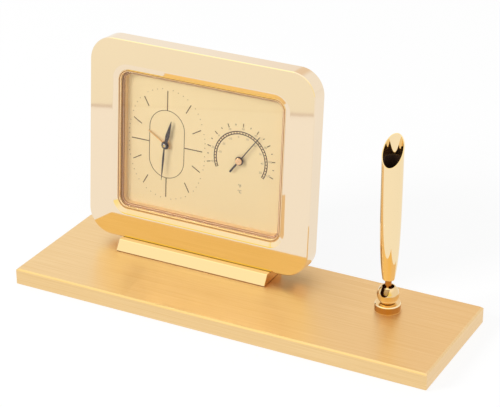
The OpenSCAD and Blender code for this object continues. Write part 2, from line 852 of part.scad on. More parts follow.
module quartz_crystal() {
    color(steel) on_clock() translate([board_u, board_level + board_t + crystal_r, board_h / 5])
        rotate([0, 90, 0]) cylinder(h = crystal_l, r = crystal_r, center = true);
}
module coil_bobbin() {
    color([0.2, 0.25, 0.5]) on_clock() translate([coil_at[0], stator_d, coil_at[1]])
        rotate([0, 90, 0]) difference() {
            union() {
                cylinder(h = coil_l, r = bobbin_r, center = true);
                for (side = [-1, 1]) translate([0, 0, side * (coil_l + flange_w) / 2])
                    cylinder(h = flange_w, r = coil_flange_r, center = true);
            }
            cube([stator_bar + 2 * fit, stator_t + 2 * fit, coil_l + 2 * flange_w + cut], center = true);
        }
}
module coil_winding() {
    color([0.72, 0.4, 0.2]) on_clock() translate([coil_at[0], stator_d, coil_at[1]])
        rotate([0, 90, 0]) difference() {
            cylinder(h = coil_l - 2 * fit, r = winding_r, center = true);
            cylinder(h = coil_l + cut, r = bobbin_r + fit, center = true);
        }
}
module stator() {
    d0 = stator_d - stator_t / 2;
    hole = magnet_r + stator_gap;
    color(steel) on_clock() slab(d0, d0 + stator_t) difference() {
        union() {
            translate(coil_at) square([2 * leg_u + stator_bar, stator_bar], center = true);
            for (side = [-1, 1]) translate(coil_at + [side * leg_u, -coil_rise / 2])
                square([stator_bar, coil_rise + stator_bar], center = true);
            translate(rotor_at) square([2 * leg_u + stator_bar, stator_bar], center = true);
            translate(rotor_at) circle(hole + stator_ring);
        }
        translate(rotor_at) circle(hole);
    }
}
module rotor() {
    color([0.45, 0.45, 0.48]) on_clock() {
        rod(rotor_at, pivot_r, pivot_front, pivot_back);
        rod(rotor_at, magnet_r, stator_d - magnet_l / 2, stator_d + magnet_l / 2);
        slab(third_level - gear_gap, third_level + gear_t + gear_gap) translate(rotor_at)
            gear(leaf_teeth, train_module, rotor_angle + 180, true);
    }
}
module third_wheel() {
    color(brass) on_clock() {
        rod(third_at, pivot_r, pivot_front, pivot_back);
        slab(centre_level - gear_gap, third_level) translate(third_at)
            gear(leaf_teeth, train_module, third_angle + 180, true);
        slab(third_level, third_level + gear_t) translate(third_at)
            gear(third_teeth, train_module, rotor_angle);
    }
}
module centre_wheel() {
    color(brass) on_clock() slab(centre_level, centre_level + gear_t) difference() {
        gear(centre_teeth, train_module, third_angle);
        circle(arbor_r + fit);
    }
}
module centre_arbor() {
    color(brass) on_clock() {
        rod([0, 0], arbor_r, arbor_tip, pivot_back);
        slab(minute_level, minute_level + pinion_l) gear(cannon_teeth, hand_module, motion_angle);
        rod([0, 0], collar_r, minute_level + pinion_l, centre_level - fit);
        rod([0, 0], collar_r, centre_level + gear_t + fit, centre_level + gear_t + gear_gap);
    }
}
module motion_wheel() {
    color([0.9, 0.9, 0.86]) on_clock() {
        rod(motion_at, knob_shaft_r, pivot_front, rear_back);
        slab(hour_level - gear_gap / 2, motion_level) translate(motion_at)
            gear(motion_pinion_teeth, hour_module, motion_angle + 180);
        slab(motion_level, motion_level + gear_t) translate(motion_at)
            gear(motion_teeth, hand_module, motion_angle + 180, true);
    }
}
module hour_wheel() {
    color([0.9, 0.9, 0.86]) on_clock() difference() {
        union() {
            rod([0, 0], hour_pipe_r, hour_d + hand_t, hour_level + gear_t);
            rod([0, 0], hour_pipe_r - pipe_wall / 2, hour_d, hour_d + hand_t);
            slab(hour_level, hour_level + gear_t) gear(hour_teeth, hour_module, motion_angle, true);
        }
        rod([0, 0], arbor_r + fit, hour_d - cut, hour_level + gear_t + cut);
    }
}
module alarm_wheel() {
    color([0.9, 0.9, 0.86]) on_clock() difference() {
        union() {
            rod([0, 0], alarm_pipe_r, alarm_d + hand_t, alarm_level + gear_t);
            rod([0, 0], alarm_pipe_r - pipe_wall / 2, alarm_d, alarm_d + hand_t);
            slab(alarm_level, alarm_level + gear_t) gear(alarm_teeth, hand_module, alarm_angle);
        }
        rod([0, 0], hour_pipe_r + fit, alarm_d - cut, alarm_level + gear_t + cut);
    }
}
module alarm_pinion() {
    color([0.9, 0.9, 0.86]) on_clock() {
        rod(alarm_at, knob_shaft_r, pivot_front, rear_back);
        slab(alarm_level - gear_gap / 2, alarm_level + gear_t + gear_gap / 2) translate(alarm_at)
            gear(alarm_pinion_teeth, hand_module, alarm_angle + 180, true);
    }
}
module alarm_contact() {
    board_edge = board_u + board_w / 2;
    tip_u = -(collar_r + arbor_r + hour_pipe_r);
    from_u = board_edge - board_w / 3;
    color([0.8, 0.6, 0.35]) on_clock()
        block([(from_u + tip_u) / 2, 0], [tip_u - from_u, 2 * collar_r], leaf_level, board_level);
}

// Knobs, switch and buzzer
module knob(at) {
    back = rear_back + knob_proud;
    difference() {
        slab(cover_back + cut, back) translate(at) circle(knob_r);
        rod(at, knob_shaft_r, cover_back, rear_back);
        for (i = [0:knob_flutes - 1])
            slab(rear_back, back + cut) translate(at) rotate(360 * i / knob_flutes)
                translate([knob_r + play, 0]) circle(knob_shaft_r / 2);
    }
}
module time_knob() { color(black) on_clock() knob(motion_at); }
module alarm_knob() { color(black) on_clock() knob(alarm_at); }
module alarm_switch() {
    at = switch_at - [switch_travel / 2, 0];
    color([0.8, 0.2, 0.15]) on_face() {
        block(at, switch_flange, rear_in - fit - switch_flange_t, rear_in - fit);
        block(at, switch_knob, rear_in - fit, rear_back + switch_proud);
    }
}
module switch_body() {
    back = rear_in - 2 * fit - switch_flange_t;
    color(black) on_face() block(switch_at, switch_flange + [switch_travel, 0], back - switch_body_d, back);
}
module buzzer() {
    color(brass) on_face() rod(buzzer_at, buzzer_r, rear_in - fit - buzzer_t, rear_in - fit);
}

// Rear cover, with the battery compartment and the guides for switch and buzzer
module rear_cover() {
    plate_in = case_wall + play;
    open_w = cell_l - 2 * opening_in;
    open_h = cell_h - 2 * opening_in;
    guide_u = (switch_flange[0] + switch_travel) / 2 + guide_r + play;
    guide_d = rear_in - switch_flange_t - switch_body_d;
    cell_size = [cell_l + 2 * cell_wall, cell_h + 2 * cell_wall];
    color(black) on_face() difference() {
        union() {
            difference() {
                union() {
                    slab(case_d - rear_plate_t, case_d) inset_case(plate_in, case_r - plate_in);
                    slab(case_d - rear_plate_t / 2, rear_back) housing();
                }
                slab(0, rear_in) housing(-rear_wall);
            }
            block([cell_u, cell_v], cell_size, cell_floor - cell_wall, rear_in + rear_wall / 2);
            slab(rear_in - buzzer_t - fit, rear_in + rear_wall / 2)
                translate(buzzer_at) ring(buzzer_r + play + buzzer_ring / 2, buzzer_ring);
            for (side = [-1, 1])
                rod(switch_at + [side * guide_u, 0], guide_r, guide_d, rear_in + rear_wall / 2);
        }
        block([cell_u, cell_v], [cell_l, cell_h], cell_floor, rear_in);
        block([cell_u, cell_v], [open_w, open_h], rear_in - cut, rear_back + cut);
        block([cell_u, (door_top + door_low - cut) / 2], [door_w, door_top - door_low + cut],
            rear_back - door_t - play, rear_back + cut);
        block([cell_u, (door_top + door_low - cut) / 2],
            [door_w + 2 * tongue_w + 2 * play, door_top - door_low + cut],
            rear_back - door_t - play, rear_back - door_t + tongue_t + play);
        for (at = [motion_at, alarm_at]) rod([clock_u, dial_rise] + at, knob_r + knob_hole_play,
            rear_in - cut, rear_back + cut);
        block(switch_at, switch_knob + [switch_travel + 2 * play, 2 * play], rear_in - cut, rear_back + cut);
        for (i = [0:sound_slots - 1])
            block(buzzer_at + [0, (i - (sound_slots - 1) / 2) * 2 * sound_h], [sound_w, sound_h],
                rear_in - cut, rear_back + cut);
        boss_places() rod([0, 0], rear_screw_r + hole_play, 0, case_d + cut);
    }
}
module rear_screws() {
    color(steel) on_face() boss_places() translate([0, case_d, 0]) rotate([-90, 0, 0])
        pan_screw(rear_screw_r, rear_head_r, rear_head_h, case_d - front_t - play);
}
module battery() {
    color([0.3, 0.32, 0.36]) on_face() translate([cell_u - (battery_l + nub_l) / 2, battery_d, cell_v])
        rotate([0, 90, 0]) {
            cylinder(h = battery_l, r = battery_r);
            cylinder(h = battery_l + nub_l, r = nub_r);
        }
}
module battery_contacts() {
    color(steel) on_face() for (side = [-1, 1])
        translate([cell_u + side * (cell_l - contact_t) / 2, battery_d, cell_v]) {
            cube([contact_t, contact_w, contact_w], center = true);
            translate([-side * (contact_t + contact_stub) / 2, 0, 0]) rotate([0, 90, 0])
                cylinder(h = contact_stub, r = nub_r, center = true);
        }
}
module battery_door() {
    d0 = rear_back - door_t - play / 2;
    color(black) on_face() {
        block([cell_u, (door_top + door_low - play) / 2], [door_w - 2 * play, door_top - door_low - play],
            d0, rear_back - play / 2);
        block([cell_u, (door_top + door_low - play) / 2],
            [door_w + 2 * tongue_w, door_top - door_low - play], d0, d0 + tongue_t);
        for (i = [0:grip_count - 1])
            block([cell_u, door_low + (i + 2) * 3 * grip_h], [grip_w, grip_h],
                rear_back - door_t / 2, rear_back + grip_d);
    }
}

// Pen holder
module on_ball() { translate([pen_x, pen_y, ball_z]) children(); }
module pen_disc() {
    color(gold) translate([pen_x, pen_y, base_top]) rotate_extrude()
        polygon([[stem_r + fit, 0], [disc_r, 0], [disc_r, disc_h - disc_bevel],
            [disc_r - disc_bevel, disc_h], [stem_r + fit, disc_h]]);
}
module cup_washer() {
    color([0.9, 0.9, 0.88]) translate([pen_x, pen_y, base_top + disc_h + fit / 2]) difference() {
        cylinder(h = washer_t - fit, r = washer_r);
        translate([0, 0, -cut]) cylinder(h = washer_t + 2 * cut, r = stem_r + fit);
    }
}
module cup_profile() {
    stem_low = base_top - ball_z + play;
    difference() {
        union() {
            intersection() {
                circle(cup_r);
                translate([0, -cup_drop]) square([cup_r, cup_drop + cup_top]);
            }
            translate([0, stem_low]) square([stem_r, -stem_low - ball_r]);
        }
        circle(ball_r + fit);
        square([opening_r, cup_r]);
        translate([0, stem_low - cut]) square([stem_bore_r, -stem_low]);
    }
}
module swivel_cup() {
    reach = 2 * cup_r;
    side = slot_w / 2 - play;
    color(gold) on_ball() difference() {
        rotate_extrude() cup_profile();
        translate([-side, 0, 0]) rotate([90, 0, 90]) linear_extrude(2 * side)
            polygon([[0, 0], [-reach * cos(slot_end), reach * sin(slot_end)], [-reach, reach],
                [0, reach]]);
        rotate([90 - slot_end, 0, 0]) cylinder(h = reach, r = slot_w / 2);
    }
}
pen_head_top = felt_t + pen_counterbore - spring_washer_t - 2 * fit;
pad_low = -ball_r - fit - pad_h;
module pen_screw() {
    color(steel) translate([pen_x, pen_y, pen_head_top]) mirror([0, 0, 1])
        pan_screw(pen_shank_r, pen_head_r, pen_head_h, ball_z + pad_low - play - pen_head_top);
}
module spring_washer() {
    color(steel) translate([pen_x, pen_y, pen_head_top + fit]) difference() {
        cylinder(h = spring_washer_t, r = pen_head_r);
        translate([0, 0, -cut]) cylinder(h = spring_washer_t + 2 * cut, r = pen_shank_r + fit);
    }
}
module friction_pad() {
    color([0.9, 0.9, 0.88]) on_ball() difference() {
        translate([0, 0, pad_low]) cylinder(h = pad_h + ball_r / 4, r = stem_bore_r - fit);
        sphere(ball_r + 2 * fit);
    }
}
module pen_ball() {
    color(gold) on_ball() {
        sphere(ball_r);
        cylinder(h = funnel_foot, r = neck_r);
        cylinder(h = funnel_foot + funnel_floor - play, r = stub_r - fit);
    }
}
// The funnel widens quickly at its foot and then evenly less towards the mouth.
function funnel_at(s) = funnel_r - (funnel_r - funnel_foot_r) * exp(-s / funnel_flare);
function funnel_rings(from, to, less) = [for (i = [0:funnel_steps])
    let (share = i / funnel_steps, s = from + (to - from) * share * share) [funnel_at(s) - less, s]];
module mouth_cut(drop) {
    middle = (funnel_front + funnel_back) / 2 - drop;
    translate([0, 0, middle]) rotate([mouth_angle, 0, 0])
        translate([-funnel_back, -funnel_back, 0]) cube(2 * funnel_back);
}
module on_funnel() { on_ball() translate([0, 0, funnel_foot]) children(); }
module pen_funnel() {
    color(gold) on_funnel() difference() {
        rotate_extrude() polygon(concat([[stub_r, 0]], funnel_rings(0, funnel_back + cut, 0),
            [for (p = [funnel_steps:-1:0]) funnel_rings(funnel_floor, funnel_back + cut, funnel_wall)[p]],
            [[stub_r, funnel_floor]]));
        mouth_cut(0);
    }
}
module pen_liner() {
    less = funnel_wall + fit;
    bore_low = 3 * liner_foot;
    color(black) on_funnel() difference() {
        rotate_extrude() polygon(concat([[0, liner_foot]], funnel_rings(liner_foot, liner_top, less),
            [[pen_bore_r, liner_top], [pen_bore_r, bore_low], [pen_bore_r / 3, liner_foot + 2 * funnel_floor],
                [0, liner_foot + 2 * funnel_floor]]));
        mouth_cut(funnel_wall);
    }
}

base_plate();
felt_pad();
support_bar();
case_screws();
front_case();
window_bead();
window_glass();
dial_frame();
dial_plate();
dial_carrier();
hour_marks();
thermo_scale();
minute_hand();
hour_hand();
alarm_hand();
thermo_pointer();
thermo_cap();
thermo_arbor();
bimetal_coil();
thermo_bracket();
movement_base();
movement_cover();
movement_screws();
circuit_board();
quartz_crystal();
coil_bobbin();
coil_winding();
stator();
rotor();
third_wheel();
centre_wheel();
centre_arbor();
motion_wheel();
hour_wheel();
alarm_wheel();
alarm_pinion();
alarm_contact();
time_knob();
alarm_knob();
alarm_switch();
switch_body();
buzzer();
rear_cover();
rear_screws();
battery();
battery_contacts();
battery_door();
pen_disc();
cup_washer();
swivel_cup();
pen_screw();
spring_washer();
friction_pad();
pen_ball();
pen_funnel();
pen_liner();
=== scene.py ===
# Desk alarm clock with thermometer and pen holder: the finish of every surface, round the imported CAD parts
import json
import math

import bmesh
import bpy
import numpy as np
from mathutils import Matrix, Vector


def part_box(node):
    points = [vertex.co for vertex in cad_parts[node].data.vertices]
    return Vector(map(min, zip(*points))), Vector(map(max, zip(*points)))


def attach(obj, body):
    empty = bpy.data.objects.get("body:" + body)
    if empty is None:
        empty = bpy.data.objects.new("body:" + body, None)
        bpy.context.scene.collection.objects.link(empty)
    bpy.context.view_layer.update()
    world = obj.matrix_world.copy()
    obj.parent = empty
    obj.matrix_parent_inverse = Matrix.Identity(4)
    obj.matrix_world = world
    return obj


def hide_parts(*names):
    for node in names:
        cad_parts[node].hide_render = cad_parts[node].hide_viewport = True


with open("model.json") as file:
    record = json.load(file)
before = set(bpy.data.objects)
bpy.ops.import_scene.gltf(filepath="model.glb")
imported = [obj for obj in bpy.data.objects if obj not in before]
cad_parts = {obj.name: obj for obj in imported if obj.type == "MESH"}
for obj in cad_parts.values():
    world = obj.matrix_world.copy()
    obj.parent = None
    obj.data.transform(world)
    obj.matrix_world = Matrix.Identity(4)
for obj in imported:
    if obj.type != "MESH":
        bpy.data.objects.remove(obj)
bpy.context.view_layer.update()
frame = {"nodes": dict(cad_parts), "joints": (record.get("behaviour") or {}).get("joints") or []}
nodes = frame["nodes"]
joints = {joint["name"]: joint for joint in frame["joints"]}
mm = 0.001
print("frame loaded:", len(nodes), "nodes")

# The face's own frame: across it, up it and in behind it. It comes from the hands' axis
axisDepth = 15.0  # mm behind the face at which the record gives the hands' and the pointer's axes
dialRise = 0.3  # mm from the case's middle up to both dial centres
depthDirection = np.array(joints["minute_turn"]["axis"])
acrossDirection = np.array([1.0, 0.0, 0.0])
upDirection = np.cross(acrossDirection, depthDirection)
clockCentre = np.array(joints["minute_turn"]["pos_m"]) / mm - axisDepth * depthDirection
thermoCentre = np.array(joints["pointer_swing"]["pos_m"]) / mm - axisDepth * depthDirection
faceMiddle = (clockCentre + thermoCentre) / 2 - dialRise * upDirection
penCentre = np.array(joints["pen_tilt"]["pos_m"]) / mm


def onFace(across, up, depth, centre=faceMiddle):
    # a point is the centre plus across, up and depth along the face's three directions
    across, up, depth = (share[..., None] for share in np.broadcast_arrays(across, up, depth))
    return centre + across * acrossDirection + up * upDirection + depth * depthDirection


def upright(x, y, z, centre=penCentre):
    # a point is the centre plus x, y and z
    return centre + np.stack(np.broadcast_arrays(x, y, z), axis=-1)


# Meshes

softSteps = 4  # pieces in which a corner's round is drawn


def newObject(name, data):
    item = bpy.data.objects.new(name, data)
    bpy.context.scene.collection.objects.link(item)
    return item


def meshPiece(name, points, quads, caps=()):
    # points are mm in rows of three, quads are rows of four point numbers, caps are longer outlines
    mesh = bpy.data.meshes.new(name)
    points = np.asarray(points, float).reshape(-1, 3)
    quads = np.asarray(quads, int).reshape(-1, 4)
    sizes = np.array([4] * len(quads) + [len(cap) for cap in caps])
    corners = np.concatenate([quads.ravel(), *[np.asarray(cap) for cap in caps]])
    mesh.vertices.add(len(points))
    mesh.vertices.foreach_set("co", (points * mm).ravel())
    mesh.loops.add(len(corners))
    mesh.loops.foreach_set("vertex_index", corners.astype(np.int32))
    mesh.polygons.add(len(sizes))
    mesh.polygons.foreach_set("loop_start", (np.cumsum(sizes) - sizes).astype(np.int32))
    mesh.polygons.foreach_set("loop_total", sizes.astype(np.int32))
    mesh.update(calc_edges=True)
    mesh.validate()
    return newObject(name, mesh)


def sweptPiece(name, *grids):
    # grid[i, j] is row i's point j, and each row closes on itself. Where the last row repeats the first,
    # the rows close too, like a ring; else the first and the last row are filled in
    points, quads, caps, first = [], [], [], 0
    for grid in grids:
        closed = np.allclose(grid[0], grid[-1])
        grid = grid[:-1] if closed else grid
        rows, columns = grid.shape[:2]
        i = np.arange(rows if closed else rows - 1)[:, None]
        j = np.arange(columns)[None, :]
        here, after, nextJ = i * columns, (i + 1) % rows * columns, (j + 1) % columns
        faces = np.stack([here + j, here + nextJ, after + nextJ, after + j], -1)
        points.append(grid.reshape(-1, 3))
        quads.append(faces.reshape(-1, 4) + first)
        if not closed:
            caps += [first + np.arange(columns)[::-1], first + (rows - 1) * columns + np.arange(columns)]
        first += rows * columns
    return meshPiece(name, np.concatenate(points), np.concatenate(quads), caps)


def looped(rows):
    # the first row again after the last, so that a swept piece closes like a ring
    return np.stack([*rows, rows[0]])


def turned(profile, centre, steps=96, place=upright):
    # a lathe: each (radius, height) of the profile goes round the axis through the centre. On the face the
    # axis is the depth direction, and a height is a depth
    radius, height = np.asarray(profile, float).T[..., None]
    angle = np.linspace(0, 2 * math.pi, steps, endpoint=False)
    return place(radius * np.cos(angle), radius * np.sin(angle), height, centre)


def softened(corners, steps=softSteps, closed=True):
    # a corner's last number says how far from it, in mm, its curve starts and ends: the curve is a quadratic
    # blend of the two sides, (1-t)^2 start + 2t(1-t) corner + t^2 end
    outline, radius = np.split(np.asarray(corners, float), [-1], axis=1)
    toLast, toNext = np.roll(outline, 1, axis=0) - outline, np.roll(outline, -1, axis=0) - outline
    start = outline + radius * toLast / np.linalg.norm(toLast, axis=1, keepdims=True)
    end = outline + radius * toNext / np.linalg.norm(toNext, axis=1, keepdims=True)
    t = np.linspace(0, 1, steps + 1)[:, None, None]
    curve = (1 - t) ** 2 * start + 2 * t * (1 - t) * outline + t ** 2 * end
    curve = np.swapaxes(curve, 0, 1)
    if not closed:
        curve[0], curve[-1] = outline[0], outline[-1]
    curve = curve.reshape(-1, outline.shape[1])
    apart = 1e-6  # mm under which two neighbours are one point
    return curve[np.linalg.norm(curve - np.roll(curve, 1, axis=0), axis=1) > apart]


def roundedRing(width, height, radius):
    # a rounded rectangle run counter-clockwise as seen from the front: four arcs of one radius
    # joined by straight sides, with the same count of points whatever the size
    sideSteps, cornerSteps = 4, 20
    x, y = width / 2 - radius, height / 2 - radius
    arcs = [np.array(arcPoints(middle, radius, 90 * quarter, 90 * quarter + 90, cornerSteps))
            for quarter, middle in enumerate([(x, y), (-x, y), (-x, -y), (x, -y)])]
    share = np.linspace(0, 1, sideSteps + 1)[1:-1, None]
    outline = []
    for arc, after in zip(arcs, arcs[1:] + arcs[:1]):
        outline += [arc, arc[-1] * (1 - share) + after[0] * share]
    return np.concatenate(outline)


def arcPoints(centre, radius, start, end, steps=4):
    # points on an arc between two angles in degrees, ends included
    angle = np.radians(np.linspace(start, end, steps + 1))
    return [(centre[0] + radius * c, centre[1] + radius * s) for c, s in zip(np.cos(angle), np.sin(angle))]


def finishPiece(piece, material, body, replaces=(), bevel=0.0):
    # smooth shading with hard edges kept, an optional small round on every edge, then the frame's
    # book-keeping
    hardEdge, bevelSteps = math.radians(32), 2
    mesh = piece.data
    mesh.polygons.foreach_set("use_smooth", np.ones(len(mesh.polygons), bool))
    mesh.set_sharp_from_angle(angle=hardEdge)
    if bevel:
        rounding = piece.modifiers.new("rounding", "BEVEL")
        rounding.width = bevel * mm
        rounding.segments = bevelSteps
        rounding.limit_method = "ANGLE"
        rounding.angle_limit = hardEdge
    piece.modifiers.new("shading", "WEIGHTED_NORMAL").keep_sharp = True
    mesh.materials.append(material)
    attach(piece, body)
    if replaces:
        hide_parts(*replaces)


def valuesOf(items, name, width=1, kind=float):
    # one property of every vertex, corner or face, in rows of the width
    values = np.empty(len(items) * width, kind)
    items.foreach_get(name, values)
    return values.reshape(-1, width) if width > 1 else values


def facesOf(piece):
    # every face's centre in mm, and its normal
    faces = piece.data.polygons
    return valuesOf(faces, "center", 3) / mm, valuesOf(faces, "normal", 3)


def repaint(piece, material, chosen):
    # the chosen faces take a further material
    mesh = piece.data
    mesh.materials.append(material)
    index = valuesOf(mesh.polygons, "material_index", kind=np.int32)
    index[chosen] = len(mesh.materials) - 1
    mesh.polygons.foreach_set("material_index", index)


def paint(material, *names):
    # a CAD node keeps its mesh and takes the material in every slot
    for name in names:
        mesh = nodes[name].data
        mesh.materials.clear()
        mesh.materials.append(material)


# Materials

def linear(code):
    # an sRGB hex value as linear light: each channel's curve undone
    channels = np.array([int(code[i:i + 2], 16) for i in (1, 3, 5)]) / 255
    light = np.where(channels <= 0.04045, channels / 12.92, ((channels + 0.055) / 1.055) ** 2.4)
    return (*light.tolist(), 1.0)


def addNode(tree, kind, inputs=None, **settings):
    # one shader node: settings are its own values, and inputs are values, other nodes' sockets, or other
    # nodes, which give their first output
    node = tree.nodes.new("ShaderNode" + kind)
    for name, value in settings.items():
        setattr(node, name, value)
    for socket, value in (inputs or {}).items():
        value = value.outputs[0] if isinstance(value, bpy.types.Node) else value
        if isinstance(value, bpy.types.NodeSocket):
            tree.links.new(value, node.inputs[socket])
        else:
            node.inputs[socket].default_value = value
    return node


def newMaterial(name):
    material = bpy.data.materials.new(name)
    material.use_nodes = True
    material.node_tree.nodes.clear()
    return material, material.node_tree


def finishMaterial(material, shader):
    addNode(material.node_tree, "OutputMaterial", {"Surface": shader})
    return material


def grainedMaterial(name, code, grainMm, values, relief=None, shine=None, detail=2.0, distortion=0.0):
    # an even colour over a noise fixed to the object, whose lumps are as wide as the real grain. The noise
    # gives a relief, as a share and its mm, or a roughness between two values
    material, tree = newMaterial(name)
    place = addNode(tree, "TexCoord").outputs["Object"]
    grain = addNode(tree, "TexNoise", {
        "Vector": place, "Scale": 1 / (grainMm * mm), "Detail": detail, "Distortion": distortion})
    inputs = {"Base Color": linear(code), **values}
    if relief:
        share, high = relief
        inputs["Normal"] = addNode(tree, "Bump", {"Height": grain, "Strength": share, "Distance": high * mm})
    if shine:
        smooth, rough = shine
        inputs["Roughness"] = addNode(tree, "MapRange", {"Value": grain, "To Min": smooth, "To Max": rough})
    return finishMaterial(material, addNode(tree, "BsdfPrincipled", inputs))


def polishedGold(name, code):
    # gold electroplate on polished brass: a pale yellow mirror, with the faintest orange peel of the plating
    return grainedMaterial(name, code, grainMm=9.0, values={"Metallic": 1.0, "Roughness": 0.04},
                           relief=(0.02, 0.2), detail=1.0)


def brushedGold():
    # gold anodised aluminium, brushed along its length: fine streaks, and reflections smeared across them
    s = {"streaks": (0.45, 40.0, 4.0), "bands": (1.1, 90.0, 3.0),  # mm across, mm along, detail
         "fineShare": 0.6, "bandShare": 0.45, "tones": ("#E6C084", "#FADCAC"), "toneRange": (0.25, 0.75),
         "scratchMm": 0.2, "scratchShare": 0.15, "roughness": (0.31, 0.43), "shineRange": (0.3, 0.7),
         "smear": 0.75}
    material, tree = newMaterial("brushedGoldAnodised")
    place = addNode(tree, "UVMap", uv_map="brushing")  # metres across and along the brushing
    lines = []
    for across, along, detail in (s["streaks"], s["bands"]):
        scale = (1 / (across * mm), 1 / (along * mm), 1)
        stretched = addNode(tree, "Mapping", {"Vector": place, "Scale": scale})
        lines.append(addNode(tree, "TexNoise", {
            "Vector": stretched, "Scale": 1.0, "Detail": detail, "Roughness": s["fineShare"]}))
    streaks, bands = lines
    mixed = addNode(tree, "Mix", {"Factor": s["bandShare"], 2: streaks, 3: bands})
    low, high = s["toneRange"]
    share = addNode(tree, "MapRange", {"Value": mixed, "From Min": low, "From Max": high})
    deep, pale = (linear(code) for code in s["tones"])
    tint = addNode(tree, "Mix", {"Factor": share, 6: deep, 7: pale}, data_type="RGBA")
    (low, high), (smooth, rough) = s["shineRange"], s["roughness"]
    shine = addNode(tree, "MapRange", {
        "Value": streaks, "From Min": low, "From Max": high, "To Min": smooth, "To Max": rough})
    bump = addNode(tree, "Bump", {
        "Height": streaks, "Strength": s["scratchShare"], "Distance": s["scratchMm"] * mm})
    grain = addNode(tree, "Tangent", direction_type="UV_MAP", uv_map="brushing")
    return finishMaterial(material, addNode(tree, "BsdfPrincipled", {
        "Base Color": tint.outputs[2], "Metallic": 1.0, "Roughness": shine, "Anisotropic": s["smear"],
        "Tangent": grain, "Normal": bump}))


def plainMetal(name, code, roughness, spread=0.04):
    # a turned or rolled metal: an even colour whose shine varies a little over its grain
    return grainedMaterial(name, code, grainMm=0.6, values={"Metallic": 1.0},
                           shine=(roughness - spread, roughness + spread))


def satinMoulding(name, code, metal):
    # gold paint on a plastic moulding: part metal, part colour, so that its steps read as soft tan lines
    return grainedMaterial(name, code, grainMm=0.3, values={"Metallic": metal}, shine=(0.4, 0.52))


def mouldedPlastic(name, code, roughness, grainMm=0.35, reliefMm=0.1):
    # injection moulded plastic: an even colour under the fine grain that the mould gave it
    return grainedMaterial(name, code, grainMm, {"Roughness": roughness, "IOR": 1.5}, (0.25, reliefMm))


def dialSheet():
    # champagne gold dial sheet, lacquered matt: a pale even metal that hardly mirrors
    return grainedMaterial("champagneDialLacquer", "#EDD5A4", grainMm=0.5,
                           values={"Metallic": 0.25, "Roughness": 0.5}, relief=(0.1, 0.1))


def woolFelt():
    # dark green wool felt: matt fibres with a soft sheen and a lumpy surface
    return grainedMaterial("woolFelt", "#1F3A2C", grainMm=0.5, relief=(0.6, 0.4), detail=4.0, distortion=1.5,
                           values={"Roughness": 0.95, "Sheen Weight": 0.4})


def clearGlass():
    # clear coated glass, 1.2 mm: lamps pass it, and it mirrors a little at a slant
    material, tree = newMaterial("clearCoatedGlass")
    glass = addNode(tree, "BsdfPrincipled", {
        "Base Color": linear("#FFFFFF"), "Roughness": 0.0, "IOR": 1.36, "Transmission Weight": 1.0})
    path = addNode(tree, "LightPath").outputs
    soft = addNode(tree, "Math", {0: path["Is Shadow Ray"], 1: path["Is Diffuse Ray"]}, operation="MAXIMUM")
    lampsPass = addNode(tree, "BsdfTransparent")
    return finishMaterial(material, addNode(tree, "MixShader", {0: soft, 1: glass, 2: lampsPass}))


gold = polishedGold("polishedGoldPlate", "#F5DDB0")
caseGold = polishedGold("polishedPaleGoldPlate", "#F1DDC0")
penGold = polishedGold("polishedDeepGoldPlate", "#EBCB98")
# a deeper orange gold for the support bar's ends: a painted reflection of the base in shade
paintedEndReflection = polishedGold("paintedEndReflectionGold", "#DFA865")
base = brushedGold()
steel = plainMetal("nickelPlatedSteel", "#C9CBCE", 0.25)
brass = plainMetal("turnedBrass", "#D8B365", 0.22)
copper = plainMetal("enamelledCopperWire", "#B8672F", 0.3)
bimetal = plainMetal("rolledBimetalStrip", "#C9B48C", 0.3)
magnet = plainMetal("sinteredMagnet", "#6F7076", 0.5)
ballBrass = plainMetal("satinBallBrass", "#B08C62", 0.22)
# a deeper brass: painted shade on the pen disc's side. The pen's neck takes it too
sideShadeBrass = plainMetal("deepBrassPaintedSideShade", "#C08A4E", 0.14)
springBronze = plainMetal("springBronze", "#8A6238", 0.3)
beadGold = plainMetal("goldPlatedBead", "#F3D6AC", 0.12)
roseBrass = plainMetal("satinRoseBrass", "#E9BE93", 0.24)
sleeve = plainMetal("printedBatterySleeve", "#3E444C", 0.35)
# a dark brown: painted shade inside the cup's hollow and on its slot's walls
cavity = plainMetal("paintedHollowShade", "#4A2C18", 0.4)
frameGold = satinMoulding("satinGoldPaint", "#DDB48A", 0.4)
# a paler copy of the frame's paint: a painted highlight on the dial frame's ridge
paintedRidgeHighlight = satinMoulding("palePaintedRidgeHighlight", "#F0CFA8", 0.5)
# a brown copy of the frame's paint: painted shade for the grooves of the bead and the dial frame
paintedGrooveShade = satinMoulding("brownPaintedGrooveShade", "#C4905F", 0.4)
# a yellower, less metallic copy of the frame's paint: painted light on the dial frame's wall
paintedWallLight = satinMoulding("yellowPaintedWallLight", "#EBC790", 0.25)
# a brown moulding paint with no metal: painted shade for the support bar's groove and foot
paintedCreaseShade = satinMoulding("brownPaintedCreaseShade", "#8F5520", 0.0)
darkLacquer = mouldedPlastic("darkHandLacquer", "#301C18", 0.35, reliefMm=0.01)
alarmLacquer = mouldedPlastic("goldHandLacquer", "#DCA85E", 0.35, reliefMm=0.01)
ink = mouldedPlastic("oliveScreenInk", "#553008", 0.55, reliefMm=0.01)
scaleInk = mouldedPlastic("brownScreenInk", "#421C0E", 0.55, reliefMm=0.01)
faintInk = mouldedPlastic("paleBrownScreenInk", "#A48E6C", 0.55, reliefMm=0.01)
dotInk = mouldedPlastic("palestScreenInk", "#A68A60", 0.55, reliefMm=0.01)
black = mouldedPlastic("texturedDarkBrownAbs", "#261D18", 0.5, grainMm=0.55, reliefMm=0.175)
knobBlack = mouldedPlastic("satinBlackAbs", "#1B1716", 0.3, reliefMm=0.02)
linerBlack = mouldedPlastic("flockedLiner", "#2A1810", 0.95, grainMm=0.25, reliefMm=0.15)
ivory = mouldedPlastic("ivoryMouldedAbs", "#D9D8D0", 0.45)
